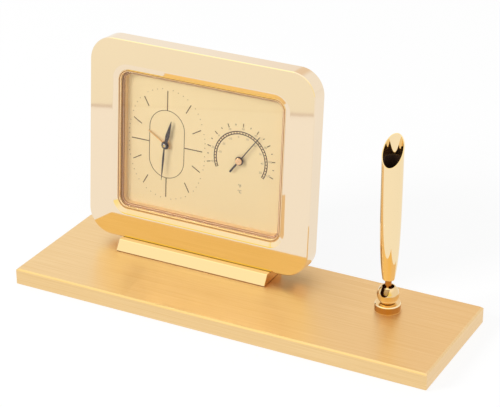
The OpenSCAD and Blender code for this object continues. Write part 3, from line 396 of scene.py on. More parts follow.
acetal = mouldedPlastic("whiteMouldedAcetal", "#E8E7E0", 0.35)
solderResist = mouldedPlastic("greenSolderResist", "#1D5B36", 0.35)
bobbinBlue = mouldedPlastic("blueMouldedNylon", "#33407E", 0.4)
switchRed = mouldedPlastic("redMouldedAbs", "#B4231C", 0.35)
dial = dialSheet()
glass = clearGlass()
felt = woolFelt()
print("materials made")

paint(felt, "felt_pad")
paint(steel, "case_screws", "movement_screws", "pen_screw", "thermo_bracket",
      "quartz_crystal", "stator", "battery_contacts")
paint(springBronze, "spring_washer", "cup_washer")
paint(glass, "window_glass")
paint(dial, "dial_plate")
paint(black, "dial_carrier", "switch_body")
paint(ink, "hour_marks")
paint(brass, "thermo_arbor", "third_wheel", "centre_wheel", "centre_arbor", "buzzer")
paint(bimetal, "bimetal_coil", "alarm_contact")
paint(ivory, "movement_base", "movement_cover")
paint(acetal, "motion_wheel", "hour_wheel", "alarm_wheel", "alarm_pinion", "friction_pad")
paint(solderResist, "circuit_board")
paint(bobbinBlue, "coil_bobbin")
paint(copper, "coil_winding")
paint(magnet, "rotor")
paint(sleeve, "battery")


# Base and case

def markBrushing(piece):
    # a map in metres whose first axis runs across the brushing and whose second runs along it: on the top
    # the brushing runs along X, on the front and back too, and on the ends it runs along Y
    mesh = piece.data
    corner = valuesOf(mesh.loops, "vertex_index", kind=np.int32)
    totals = valuesOf(mesh.polygons, "loop_total", kind=np.int32)
    x, y, z = valuesOf(mesh.vertices, "co", 3)[corner].T
    nx, ny, nz = np.abs(np.repeat(facesOf(piece)[1], totals, axis=0)).T
    top, front = nz > 0.5, ny > nx
    uv = np.stack([np.where(top, y, z), np.where(top | front, x, y)], -1)
    mesh.uv_layers.new(name="brushing").data.foreach_set("uv", uv.ravel())


def basePlate():
    # a rounded rectangle carried up the plate's side, over its bevel and in to the top
    s = {"bevel": 0.9, "corner": 0.5, "edge": 0.18}
    bevel, corner, edge = s["bevel"], s["corner"], s["edge"]
    low, high = (np.array(corner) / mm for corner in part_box("base_plate"))
    width, depth = (high - low)[:2]
    profile = softened([(0.0, low[2], edge), (0.0, high[2] - bevel, edge), (bevel, high[2], edge),
                        (2 * bevel, high[2], edge)], closed=False)
    rings = [upright(*roundedRing(width - 2 * inset, depth - 2 * inset, corner + inset).T, z, np.zeros(3))
             for inset, z in profile]
    plate = sweptPiece("brushedBasePlate", np.stack(rings))
    markBrushing(plate)
    finishPiece(plate, base, "base", ["base_plate"])


def supportBar():
    # the bar's end view carried along X, its ends a little drawn in. The groove under the case's front edge
    # and a low strip along the bar's foot are painted brown: painted shade in the crease and along the bar's
    # contact with the base
    s = {"slope": 3.8, "height": 6.0, "footEdge": 0.05, "topEdge": 0.35, "backEdge": 0.2, "endEdge": 0.3,
         "endSteps": 4, "endLook": 0.6, "strip": 0.4, "stripEdge": 0.01, "margin": 0.1, "grooveLook": 0.5,
         # the groove: how far behind the case's face, how deep, and the corner's round
         "groove": [(0.25, 0.0, 0.15), (0.5, 0.7, 0.05), (2.75, 0.7, 0.05), (2.95, 0.25, 0.05)]}
    low, high = (np.array(corner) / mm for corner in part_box("support_bar"))
    lean = upDirection[1] / upDirection[2]
    faceY = faceMiddle[1] - lean * (faceMiddle[2] - high[2])
    strip = low[2] + s["strip"]
    outline = softened([
        (low[1], low[2], s["footEdge"]),
        (low[1] + s["slope"] * s["strip"] / s["height"], strip, s["stripEdge"]),
        (low[1] + s["slope"], high[2], s["topEdge"]),
        *[(faceY + behind, high[2] - deep, edge) for behind, deep, edge in s["groove"]],
        (high[1], high[2] - lean * (high[1] - faceY), s["backEdge"]),
        (high[1], low[2], s["backEdge"])])
    middle = outline.mean(axis=0)
    reach = np.abs(outline - middle).max(axis=0)
    turn = np.linspace(0, math.pi / 2, s["endSteps"] + 1)
    inward, less = s["endEdge"] * (1 - np.sin(turn)), s["endEdge"] * (1 - np.cos(turn))
    rows = []
    for x, drawn in [*zip(high[0] - inward[::-1], less[::-1]), *zip(low[0] + inward, less)]:
        y, z = (middle + (outline - middle) * (1 - drawn / reach)).T
        rows.append(np.stack([np.full_like(y, x), y, z], -1))
    bar = sweptPiece("polishedBar", np.stack(rows))
    finishPiece(bar, gold, "base", ["support_bar"])
    centres, normals = facesOf(bar)
    y, z, endways = centres[:, 1], centres[:, 2], np.abs(normals[:, 0])
    behind, deep = np.array(s["groove"])[:, :2].T
    groove = (y > faceY + behind[0] - s["margin"]) & (y < faceY + behind[-1] + s["margin"])
    groove &= (z > high[2] - deep.max() - s["margin"]) & (endways < s["grooveLook"])
    # the bar's ends take the deeper orange gold: a painted reflection of the shaded base
    repaint(bar, paintedEndReflection, endways > s["endLook"])
    # the groove and the low strip along the foot are painted brown: painted shade
    repaint(bar, paintedCreaseShade, groove | (z < strip - s["stripEdge"]))


# "outside" and "window" are a width, a height and a corner radius; the window's bevel is a width and a depth
caseSettings = {"outside": (139.7, 117.6, 14.5), "depth": 11.25, "bevel": 0.45, "wall": 2.2, "front": 3.4,
                "window": (104.5, 83.4, 7.0), "windowBevel": (2.8, 1.3), "windowEdge": 1.3, "edge": 0.14,
                "hiddenEdge": 0.05, "steps": 5}


def drawnIn(size, inset, *rest):
    # a rounded rectangle's size once it is drawn in on all four sides, its corner radius less by as much
    width, height, corner = size
    return (width - 2 * inset, height - 2 * inset, corner - inset, *rest)


def framed(rows):
    # each row (width, height, corner radius, depth) is one outline on the face, and the last joins the first
    return looped([onFace(*roundedRing(*outline).T, depth) for *outline, depth in rows])


def frontCase():
    # the case's outline carried from its back edge round the front bevel, over the face, down the window's
    # bevel and wall, and back behind the face inside the wall
    c = caseSettings
    outside, window, edge, hidden = c["outside"], c["window"], c["edge"], c["hiddenEdge"]
    bevelWidth, bevelDepth = c["windowBevel"]
    rows = softened([
        drawnIn(outside, 0.0, c["depth"], edge), drawnIn(outside, 0.0, c["bevel"], edge),
        drawnIn(outside, c["bevel"], 0.0, edge), drawnIn(window, -bevelWidth, 0.0, c["windowEdge"]),
        drawnIn(window, 0.0, bevelDepth, edge), drawnIn(window, 0.0, c["front"], hidden),
        drawnIn(outside, c["wall"], c["front"], hidden), drawnIn(outside, c["wall"], c["depth"], edge),
    ], c["steps"])
    finishPiece(sweptPiece("polishedCase", framed(rows)), caseGold, "base", ["front_case"])


def windowFrame(name, material, slot, node, corners, bands):
    # a profile of (inset from the window's wall, depth, round) carried round the window. Bands of it take
    # other materials: each runs between two places counted in corners, so that 2.8 ends corner 2's round
    rings = framed([drawnIn(caseSettings["window"], inset, depth) for inset, depth in softened(corners)])
    piece = sweptPiece(name, rings)
    finishPiece(piece, material, "base", [node])
    row = np.arange(len(piece.data.polygons)) // rings.shape[1]
    for other, *places in bands:
        ends = [(round(first * (softSteps + 1)), round(after * (softSteps + 1))) for first, after in places]
        repaint(piece, other, np.any([(row >= first) & (row < after) for first, after in ends], axis=0))


def windowBead():
    # the bead round the glass: a flat step, a fine groove painted brown as painted shade, a round bead and
    # the seat behind the glass
    settings = {
        "corners": [(0.02, 3.4, 0.03), (0.02, 1.25, 0.1), (0.45, 1.1, 0.1), (0.6, 1.55, 0.05),
                    (0.85, 1.55, 0.05), (0.95, 1.2, 0.1), (1.3, 1.2, 0.15), (1.6, 1.95, 0.15),
                    (1.6, 2.2, 0.05), (0.8, 2.2, 0.03), (0.8, 4.2, 0.05), (-2.9, 4.2, 0.05),
                    (-2.9, 3.45, 0.03)],
        # the groove's band is painted brown: painted shade
        "bands": [(paintedGrooveShade, (2.6, 4.4))],  # the groove
    }
    windowFrame("windowBead", beadGold, "polished_gold", "window_bead", **settings)


def dialFrame():
    # the frame between glass and dial: a flat lip, a groove, a ridge, a groove and a wall down to the dial.
    # Its bands are painted copies of the frame's paint: brown grooves as painted shade, a pale ridge as a
    # painted highlight and a yellower wall as painted light
    settings = {
        "corners": [(0.9, 7.0, 0.03), (0.9, 3.2, 0.05), (1.75, 3.25, 0.1), (1.85, 3.9, 0.1),
                    (2.15, 3.9, 0.08), (2.3, 3.55, 0.1), (2.55, 3.6, 0.1), (2.65, 4.4, 0.08),
                    (2.9, 4.4, 0.08), (3.05, 4.2, 0.08), (3.4, 7.0, 0.05)],
        # the two grooves, painted brown as painted shade, the wall, painted yellower as painted light, and
        # the ridge, painted pale as a painted highlight
        "bands": [(paintedGrooveShade, (2.8, 5), (6.8, 8.6)), (paintedWallLight, (9, 11)), (paintedRidgeHighlight, (5, 6.8))],
    }
    windowFrame("dialFrame", frameGold, "frame_gold", "dial_frame", **settings)


# Hands

def blade(stations, centre, turnDegrees, depth, thickness, ridge):
    # a hand's arm: half widths at distances along it, with a ridge down the middle of its front.
    # Its cross-section is a flat back, two thin sides and two slopes that meet at the ridge
    along, half = np.asarray(stations, float).T[..., None]
    angle = math.radians(turnDegrees)
    side = half * [-1, 0, 1, 1, -1]
    behind = np.array([ridge, 0, ridge, thickness, thickness]) + 0 * side
    across = along * math.sin(angle) + side * math.cos(angle)
    up = along * math.cos(angle) - side * math.sin(angle)
    return onFace(across, up, depth + behind, centre)


def boss(radius, front, back, centre, edge):
    # a round boss: flat front, rounded rim, straight side
    turns, flatShares = 64, (0.6, 0.3, 0.05)
    rim = arcPoints((radius - edge, front + edge), edge, 0, -90)
    flat = [(radius * share, front) for share in flatShares]
    return turned([(radius, back), *rim, *flat], centre, turns, onFace)


def leaf(length, half):
    # a leaf-shaped arm's stations: shares of its length and of its widest half width
    shares = [(0.0, 0.5), (0.38, 1.0), (0.7, 0.62), (0.94, 0.2), (1.0, 0.06)]
    return [(length * along, half * width) for along, width in shares]


# a station is mm along the arm and the half width there, and a turn is degrees clockwise from upright
handSettings = {
    "minuteHand": {
        "stations": leaf(21.1, 0.66), "turn": 184.4, "depth": 4.0, "ridge": 0.16,
        "hub": 1.7, "hubEdge": 0.12, "hubProud": 0.05},
    "hourHand": {
        "stations": leaf(15.2, 1.3), "turn": 14.0, "depth": 4.8, "ridge": 0.16,
        "hub": 2.3, "hubEdge": 0.12, "hubProud": 0.05},
    "alarmHand": {
        "stations": [(-3.4, 0.35), (13.05, 0.35), (13.1, 0.3)], "turn": 301.3, "depth": 5.7, "ridge": 0.05,
        "hub": 2.6, "hubEdge": 0.1, "hubProud": 0.05},
    "thermometerPointer": {
        "stations": [(-9.3, 0.55), (0.0, 0.5), (2.0, 0.3), (19.4, 0.22), (20.4, 0.06)], "turn": 37.0,
        "depth": 5.1, "ridge": 0.1, "hub": 2.5, "hubEdge": 0.1, "hubProud": 0.0},
}


def hand(name, centre, material, body, node):
    # an arm and its hub, whose back is the arm's
    h, thickness = handSettings[name], 0.3
    arm = blade(h["stations"], centre, h["turn"], h["depth"], thickness, h["ridge"])
    hub = boss(h["hub"], h["depth"] - h["hubProud"], h["depth"] + thickness, centre, h["hubEdge"])
    finishPiece(sweptPiece(name, arm, hub), material, body, [node])


def pointerCap():
    # the cap over the hub of the thermometer's pointer
    settings = {"radius": 2.0, "front": 4.0, "back": 5.1, "edge": 0.35}
    cap = sweptPiece("pointerCap", boss(centre=thermoCentre, **settings))
    finishPiece(cap, roseBrass, "thermometer", ["thermo_cap"])


def centrePin():
    # the end of the hands' arbor: a small bright pin in a collar
    settings = {"radius": 0.95, "front": 3.72, "back": 4.05, "edge": 0.25}
    pin = sweptPiece("centrePin", boss(centre=clockCentre, **settings))
    finishPiece(pin, steel, "minute")


# Pen holder: heights are mm above the ball's centre, and the funnel's lengths are above its foot

penSettings = {
    "discRadius": 7.2, "discHeight": 4.3, "discBevel": 0.5, "discBore": 2.45, "discFoot": (0.15, 0.25),
    "discEdge": 0.18, "discFootEdge": 0.1, "discFineEdge": 0.05, "discSideLook": 0.2,
    "ball": 4.3, "ballLow": -88, "ballTop": 3.7, "ballTurns": 72, "ballSteps": 40, "pole": 0.05,
    "fillet": 1.2, "filletSteps": 8, "neck": 1.8, "neckLow": 4.6, "stub": 1.5, "foot": 9.1,
    "footRadius": 3.3, "footEdge": (0.35, 0.1, 0.08), "mouthRadius": 5.9, "flare": 14.0, "front": 67.5,
    "back": 83.0, "wall": 0.6, "floor": 2.4, "play": 0.05,
}


def penDisc():
    # the disc under the cup, turned: flat top, bevelled rim, straight side. The side is painted a deeper
    # brass: a painted reflection of the base in shade
    p = penSettings
    radius, bevel, bore, (footIn, footUp) = p["discRadius"], p["discBevel"], p["discBore"], p["discFoot"]
    edge, fine = p["discEdge"], p["discFineEdge"]
    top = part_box("pen_disc")[1][2] / mm
    low = top - p["discHeight"]
    profile = softened([
        (bore, low, fine), (radius - footIn, low, fine), (radius, low + footUp, p["discFootEdge"]),
        (radius, top - bevel, edge), (radius - bevel, top, edge), (bore, top, fine)])
    disc = sweptPiece("penDisc", looped(turned(profile, penCentre * [1, 1, 0])))
    finishPiece(disc, gold, "base", ["pen_disc"])
    # the side faces take the deeper brass: painted shade
    repaint(disc, sideShadeBrass, np.abs(facesOf(disc)[1][:, 2]) < p["discSideLook"])


def penBall():
    # ball and neck, turned: the sphere, a small fillet, then the straight neck up to the funnel and its stub
    p = penSettings
    ball, neck, fillet, foot, play = p["ball"], p["neck"], p["fillet"], p["foot"], p["play"]
    join = math.degrees(math.acos((neck + fillet) / (ball + fillet)))
    filletCentre = (neck + fillet, (ball + fillet) * math.sin(math.radians(join)))
    stub, stubTop = p["stub"] - play, foot + p["floor"] - 2 * play
    profile = [
        (p["pole"], -ball), *arcPoints((0, 0), ball, p["ballLow"], join, p["ballSteps"]),
        *arcPoints(filletCentre, fillet, 180 + join, 180, p["filletSteps"]),
        (neck, foot - 2 * play), (neck - play, foot), (stub, foot), (stub, stubTop), (p["pole"], stubTop)]
    piece = sweptPiece("penBall", turned(profile, penCentre, p["ballTurns"]))
    finishPiece(piece, gold, "pen", ["pen_ball"])
    height = (facesOf(piece)[0] - penCentre)[:, 2]
    # the neck takes the same deeper brass as the disc's side
    repaint(piece, sideShadeBrass, height > p["neckLow"])
    repaint(piece, ballBrass, height < p["ballTop"])


def funnelRadius(s):
    # the funnel's radius at the length s: 5.9 - 2.6 exp(-s / 14), in the settings' own numbers
    p = penSettings
    return p["mouthRadius"] - (p["mouthRadius"] - p["footRadius"]) * np.exp(-s / p["flare"])


def mouthPlane(angle):
    # the mouth rises evenly from the front to the back: s = middle + (y / radius) (back - front) / 2
    p = penSettings
    return (p["front"] + p["back"]) / 2 + np.sin(angle) * (p["back"] - p["front"]) / 2


def roundPen(angle, *parts):
    # rows of (radius, length) at every angle, placed round the pen's axis. A single pair is a level ring
    level = (1, len(angle), 2)
    rows = np.concatenate([np.broadcast_to(part, level) if np.ndim(part) == 1 else part for part in parts])
    radius, s = rows[..., 0], rows[..., 1]
    return upright(radius * np.cos(angle), radius * np.sin(angle), s + penSettings["foot"], penCentre)


def penFunnel():
    # up the flared outside, over the round rim, down the inside to the floor and the stub's hole
    p = penSettings
    s = {"turns": 120, "rows": 60, "rimSteps": 8, "crowding": 1.6, "outsideLow": 0.3}
    angle = np.linspace(0, 2 * math.pi, s["turns"], endpoint=False)
    rim = p["wall"] / 2
    rimLow = mouthPlane(angle) - rim
    share = np.linspace(0, 1, s["rows"])[:, None] ** s["crowding"]
    outerS = s["outsideLow"] + (rimLow - s["outsideLow"]) * share
    innerS = (p["floor"] + (rimLow - p["floor"]) * share)[::-1]
    overRim = np.linspace(0, math.pi, s["rimSteps"] + 1)[1:-1, None]
    rimS = rimLow + rim * np.sin(overRim)
    inward, edgeIn, edgeUp = p["footEdge"]
    grid = roundPen(
        angle, (p["stub"], 0.0), (p["footRadius"] - inward, 0.0), (p["footRadius"] - edgeIn, edgeUp),
        np.stack([funnelRadius(outerS), outerS], -1),
        np.stack([funnelRadius(rimS) - rim + rim * np.cos(overRim), rimS], -1),
        np.stack([funnelRadius(innerS) - p["wall"], innerS], -1), (p["stub"], p["floor"]), (p["stub"], 0.0))
    finishPiece(sweptPiece("penFunnel", grid), gold, "pen", ["pen_funnel"])


def penLiner():
    # the liner in the funnel: an outside that follows the funnel's wall, and a bore that narrows to its
    # foot. Its top is level, and cut by the mouth's plane at the front: s = min(top, mouth)
    p = penSettings
    s = {"turns": 96, "rows": 30, "foot": 12.0, "top": 70.8, "under": 0.9, "bore": 4.4, "boreFoot": 36.0,
         "endRadius": 1.5, "end": 17.0, "endPole": 16.8, "pole": 0.1}
    angle = np.linspace(0, 2 * math.pi, s["turns"], endpoint=False)
    top = np.minimum(mouthPlane(angle) - s["under"], s["top"])
    share = np.linspace(0, 1, s["rows"])[:, None]
    outerS = s["foot"] + (top - s["foot"]) * share
    boreS = (s["boreFoot"] + (top - s["boreFoot"]) * share)[::-1]
    grid = roundPen(
        angle, (s["pole"], s["foot"]), np.stack([funnelRadius(outerS) - p["wall"] - p["play"], outerS], -1),
        np.stack([np.full_like(boreS, s["bore"]), boreS], -1), (s["endRadius"], s["end"]),
        (s["pole"], s["endPole"]))
    finishPiece(sweptPiece("penLiner", grid), linerBlack, "pen", ["pen_liner"])


# heights are above the ball's centre in mm, and angles are degrees
cupSettings = {
    "radius": 6.1, "top": 4.8, "drop": 4.6, "opening": 3.3, "cavity": 4.36, "cavityLow": -68, "lip": 0.16,
    "stem": 2.35, "stemBore": 1.5, "stemLow": -9.0, "slot": 4.75, "slotRise": 29.7, "slotOver": 8.0,
    "slotReach": (1.0, 12.0), "bevel": 0.08, "turns": 128, "arcSteps": 40, "slotSteps": 32,
    "darkLow": -4.0, "skin": 0.05, "rimDrop": 0.3, "outLook": 0.5, "upLook": 0.5,
}


def swivelCup():
    # the cup: a lathe from the stem up the sphere, over the lip and down the cavity, less a U-shaped prism
    # that runs out of the centre at the slot's rise. The cavity and the slot's walls are painted dark brown,
    # painted shade of the hollow
    c = cupSettings
    low, high = (math.degrees(math.asin(z / c["radius"])) for z in (-c["drop"], c["top"]))
    cavityTop = math.degrees(math.acos(c["opening"] / c["cavity"]))
    outline = [
        (c["stemBore"], c["stemLow"]), (c["stem"], c["stemLow"]), (c["stem"], -c["drop"]),
        *arcPoints((0, 0), c["radius"], low, high, c["arcSteps"]),
        *arcPoints((c["opening"] + c["lip"], c["top"] - c["lip"]), c["lip"], 90, 180),
        *arcPoints((0, 0), c["cavity"], cavityTop, c["cavityLow"], c["arcSteps"])]
    cup = sweptPiece("swivelCup", looped(turned(outline, penCentre, c["turns"])))
    half, rise = c["slot"] / 2, math.radians(c["slotRise"])
    across, over = np.array([(half, c["slotOver"]), (-half, c["slotOver"]),
                             *arcPoints((0, 0), half, 180, 360, c["slotSteps"])]).T
    rings = [upright(across, over * math.sin(rise) - along * math.cos(rise),
                     over * math.cos(rise) + along * math.sin(rise)) for along in c["slotReach"]]
    cutter = sweptPiece("slotCutter", np.stack(rings))
    cut = cup.modifiers.new("slot", "BOOLEAN")
    cut.operation, cut.solver, cut.object = "DIFFERENCE", "EXACT", cutter
    bpy.context.view_layer.update()
    graph = bpy.context.evaluated_depsgraph_get()
    shape = bpy.data.meshes.new_from_object(cup.evaluated_get(graph))
    cup.modifiers.clear()
    cup.data = shape
    bpy.data.objects.remove(cutter)
    shape.name = "swivelCup"
    finishPiece(cup, penGold, "cup", ["swivel_cup"], bevel=c["bevel"])
    centres, normals = facesOf(cup)
    out = centres - penCentre
    away = np.linalg.norm(out, axis=1)
    inside = ((out * normals).sum(axis=1) < c["outLook"] * away) & (away < c["radius"] - c["skin"])
    rim = (out[:, 2] > c["top"] - c["rimDrop"]) & (normals[:, 2] > c["upLook"])
    # the cup's inside above darkLow, less its lip, is painted dark brown: painted shade
    repaint(cup, cavity, inside & (out[:, 2] > c["darkLow"]) & ~rim)


# Back

def backFittings():
    # the back's own parts, each a copy of its CAD node with its triangles merged and its flat faces made
    # whole, so that its edges can be rounded as its mould or its lathe leaves them
    mergeMm, flat = 0.002, math.radians(0.5)
    table = [
        # node, piece, material, body, slot, edge in mm
        ("rear_cover", "rearCover", black, "base", "black_plastic", 0.35),
        ("battery_door", "batteryDoor", black, "door", "black_plastic", 0.12),
        ("time_knob", "timeKnob", knobBlack, "motion", "black_plastic", 0.1),
        ("alarm_knob", "alarmKnob", knobBlack, "alarm_setting", "black_plastic", 0.1),
        ("alarm_switch", "alarmSwitch", switchRed, "switch", "red_plastic", 0.15),
        ("rear_screws", "rearScrews", steel, "base", "steel", 0.08),
    ]
    for name, pieceName, material, body, slotName, edge in table:
        mesh = bpy.data.meshes.new(pieceName)
        build = bmesh.new()
        build.from_mesh(nodes[name].data)
        bmesh.ops.remove_doubles(build, verts=build.verts, dist=mergeMm * mm)
        bmesh.ops.dissolve_limit(build, angle_limit=flat, verts=build.verts, edges=build.edges)
        build.to_mesh(mesh)
        build.free()
        mesh.materials.clear()
        finishPiece(newObject(pieceName, mesh), material, body, [name], bevel=edge)


# Printing on the dial: depths are mm behind the face, and the print stands just in front of the dial

printDepth = 6.96
printThickness = 0.03


def printed(name, shapes, centre, material, replaces=()):
    # each shape is an outline of (across, up) points, run counter-clockwise and given the ink's thickness
    points = np.concatenate(shapes)
    sizes = np.array([len(shape) for shape in shapes])
    count = len(points)
    faces = [start + np.arange(size) for start, size in zip(np.cumsum(sizes) - sizes, sizes)]
    backs = [face[::-1] + count for face in faces]
    sides = []
    for face in faces:
        after = np.roll(face, -1)
        sides.append(np.stack([after, face, face + count, after + count], -1))
    layers = [onFace(*points.T, printDepth + behind, centre) for behind in (0, printThickness)]
    piece = meshPiece(name, np.concatenate(layers), np.concatenate(sides), faces + backs)
    finishPiece(piece, material, "base", replaces)


def bent(radius, width, start, end, steps=60):
    # a band along an arc about the centre, angles in degrees clockwise from upright: its outline runs back
    # along the outer edge and then on along the inner one
    angle = np.radians(np.linspace(start, end, steps + 1))
    ray = np.stack([np.sin(angle), np.cos(angle)], -1)
    return np.concatenate([(radius + width / 2) * ray[::-1], (radius - width / 2) * ray])


def stroke(turnDegrees, start, end, width):
    # a straight mark on the ray at an angle clockwise from upright, between two radii
    angle = math.radians(turnDegrees)
    ray = np.array([math.sin(angle), math.cos(angle)])
    side = np.array([math.cos(angle), -math.sin(angle)]) * width / 2
    return np.stack([ray * start + side, ray * end + side, ray * end - side, ray * start - side])


# angles are degrees clockwise from upright, and "first" is the lowest tick's
scaleSettings = {
    "track": 15.85, "trackWidth": 1.9, "line": 0.56, "from": -113.8, "to": 119.3, "rungs": 4,
    "rungWidth": 0.392, "endRung": 0.6, "tick": 21.5, "tickLength": 2.2, "tickWidth": 0.5, "halfTick": 0.45,
    "first": -102.6, "step": 26.4, "ticks": 9, "lowest": -40, "perStep": 20, "celsius": range(-30, 51, 10),
    "rungStop": 1, "outside": 18.2, "inside": 13.3, "figure": 1.25, "unit": 1.7,
    "units": {"°F": -15.3, "°C": -18.6},
}


def thermometerScale():
    # two arcs with rungs between them, a tick at every number and a short one halfway to the next
    t = scaleSettings
    off = t["trackWidth"] / 2 - t["line"] / 2
    gap, rung = off - t["line"] / 2, t["step"] / t["rungs"]
    shapes = [bent(radius, t["line"], t["from"], t["to"]) for radius in (t["track"] - off, t["track"] + off)]
    rungs = np.arange(t["first"] - rung, t["to"] - t["rungStop"], rung)
    for angle in [t["from"] + t["endRung"], *rungs, t["to"] - t["endRung"]]:
        shapes.append(stroke(angle, t["track"] - gap, t["track"] + gap, t["rungWidth"]))
    printed("thermometerTrack", shapes, thermoCentre, scaleInk, ["thermo_scale"])
    middle, half = t["tick"] - t["tickLength"] / 2, t["halfTick"]
    angles = t["first"] + t["step"] * np.arange(t["ticks"])
    shapes = [stroke(angle, t["tick"] - t["tickLength"], t["tick"], t["tickWidth"]) for angle in angles]
    shapes += [stroke(angle + t["step"] / 2, middle - half, middle + half, half) for angle in angles[:-1]]
    printed("thermometerTicks", shapes, thermoCentre, ink, ["thermo_scale"])


def minuteDots():
    # a ten-sided dot for each minute between the hour marks, on the marks' own oblong ring: its radius is a
    # share of the longest at 0, 30, 60 and 90 degrees from upright, and in between it changes evenly
    settings = {"ring": 31.5, "ringShares": [1, 0.946, 0.79, 0.721], "beyond": 1.3, "dot": 0.3}
    turn = np.radians([6.0 * minute for minute in range(60) if minute % 5])
    fold = np.degrees(np.arcsin(np.abs(np.sin(turn))))
    radius = settings["ring"] * np.interp(fold, [0, 30, 60, 90], settings["ringShares"]) + settings["beyond"]
    places = zip(radius * np.sin(turn), radius * np.cos(turn))
    shapes = [arcPoints(place, settings["dot"], 0, 324, 9) for place in places]
    printed("minuteDots", shapes, clockCentre, dotInk)


def figures(name, texts, material):
    # printed figures: each text is (words, across, up, height), set upright about its place. Its own x and
    # y run across and up the face, and its own z comes out of it
    sizeShare, curveSteps, mergeMm = 1.42, 3, 0.001  # the first is the font's size over its figures' height
    build = bmesh.new()
    for words, across, up, height in texts:
        curve = bpy.data.curves.new("figure", "FONT")
        curve.body, curve.size, curve.extrude = words, height * sizeShare, printThickness / 2
        curve.align_x, curve.align_y = "CENTER", "CENTER"
        curve.resolution_u = curveSteps
        holder = bpy.data.objects.new("figure", curve)
        mesh = bpy.data.meshes.new_from_object(holder)
        x, y, z = valuesOf(mesh.vertices, "co", 3).T
        placed = onFace(across + x, up + y, printDepth + printThickness / 2 - z, thermoCentre)
        mesh.vertices.foreach_set("co", (placed * mm).ravel())
        build.from_mesh(mesh)
        bpy.data.objects.remove(holder)
        bpy.data.curves.remove(curve)
        bpy.data.meshes.remove(mesh)
    bmesh.ops.remove_doubles(build, verts=build.verts, dist=mergeMm * mm)
    bmesh.ops.recalc_face_normals(build, faces=build.faces)
    mesh = bpy.data.meshes.new(name)
    build.to_mesh(mesh)
    build.free()
    finishPiece(newObject(name, mesh), material, "base")


def scaleFigures():
    # Fahrenheit outside the track and Celsius inside it: a tick is 20 F, and the lowest is -40 on both
    t = scaleSettings

    def around(value, fahrenheit, radius):
        angle = math.radians(t["first"] + t["step"] * (fahrenheit - t["lowest"]) / t["perStep"])
        return str(value), radius * math.sin(angle), radius * math.cos(angle), t["figure"]

    ticks = [t["lowest"] + t["perStep"] * i for i in range(t["ticks"])]
    texts = [around(value, value, t["outside"]) for value in ticks]
    texts += [around(value, 1.8 * value + 32, t["inside"]) for value in t["celsius"]]
    figures("scaleFigures", texts, faintInk)
    figures("unitMarks", [(unit, 0, up, t["unit"]) for unit, up in t["units"].items()], scaleInk)


basePlate()
supportBar()
frontCase()
windowBead()
dialFrame()
print("base and case made")
hand("minuteHand", clockCentre, darkLacquer, "minute", "minute_hand")
hand("hourHand", clockCentre, darkLacquer, "hour", "hour_hand")
hand("alarmHand", clockCentre, alarmLacquer, "alarm", "alarm_hand")
hand("thermometerPointer", thermoCentre, darkLacquer, "thermometer", "thermo_pointer")
pointerCap()
penDisc()
penBall()
penFunnel()
penLiner()
swivelCup()
centrePin()
backFittings()
print("hands, pen holder and back made")
thermometerScale()
minuteDots()
scaleFigures()
print("dial printed")


# Camera at the photograph's place, from the fitted view

cameraSettings = {
    "azimuth": 27.62, "elevation": 25.75, "roll": 0.09,  # degrees
    "distance": 1078.6, "target": (-36.63, 76.02, 21.0), "farthest": 20000,  # mm
    "focalPixels": 1823.9, "imagePixels": 500, "sensor": 36.0,
}


def makeCamera():
    # the camera stands back from its target along the view's azimuth and elevation
    view = cameraSettings
    azimuth, elevation = math.radians(view["azimuth"]), math.radians(view["elevation"])
    back = Vector((math.sin(azimuth) * math.cos(elevation), -math.cos(azimuth) * math.cos(elevation),
                   math.sin(elevation)))
    data = bpy.data.cameras.new("camera")
    data.sensor_width = view["sensor"]
    data.lens = view["focalPixels"] / view["imagePixels"] * view["sensor"]
    data.clip_end = view["farthest"] * mm
    camera = newObject("camera", data)
    roll = Matrix.Rotation(math.radians(-view["roll"]), 3, "Z")
    turn = (-back).to_track_quat("-Z", "Y").to_matrix() @ roll
    place = (Vector(view["target"]) + back * view["distance"]) * mm
    camera.matrix_world = Matrix.Translation(place) @ turn.to_4x4()
    bpy.context.scene.camera = camera


# Light: a soft step goes from 0 to 1 as the direction's share along an axis goes from the first to the
# second value, and a part of the room is the product of its steps

lightSettings = {
    "worldLight": 0.5, "white": "#FFFFFF", "frontHigh": "#FFF9E2",
    "room": [
        # what metal finds over the high front wall, each part laid over the last: tint, strength, steps
        ("#FFF1A0", 1.0, [("X", -0.1, 0.35)]),  # front right
        ("#FFE86C", 1.0, [("Z", 0.46, 0.36), ("X", -0.25, -0.34), ("X", -0.6, -0.53)]),  # low front
        ("#FFFFFF", 1.0, [("Y", -0.75, -0.2)]),  # back
        ("#F4E2CE", 1.0, [("Y", 0.2, 0.6), ("X", -0.48, -0.3), ("X", 0.1, -0.15)]),  # back right
        ("#F8FDD2", 1.25, [("Z", 0.6, 0.75), ("X", -0.22, -0.36), ("Y", -0.1, -0.28)]),  # upper left
        (None, 1.2, [("Z", 0.45, 0.85)]),  # ceiling
        (None, 1.12, [("Y", -0.2, -0.75)]),  # front
    ],
    "key": {"place": (-1100, -1300, 1000), "size": 600, "watts": 20.0},  # mm, mm, watts
    "fill": {"place": (900, -900, 700), "size": 700, "watts": 2.0},
    "aim": (0, 0, 40),  # mm
}


def seenDirectly(tree):
    # 1 where the camera, metal or glass looks, and 0 where the light falls on a surface
    path = addNode(tree, "LightPath").outputs
    seen = path["Is Camera Ray"]
    for ray in ("Is Glossy Ray", "Is Transmission Ray"):
        seen = addNode(tree, "Math", {0: seen, 1: path[ray]}, operation="MAXIMUM")
    return seen


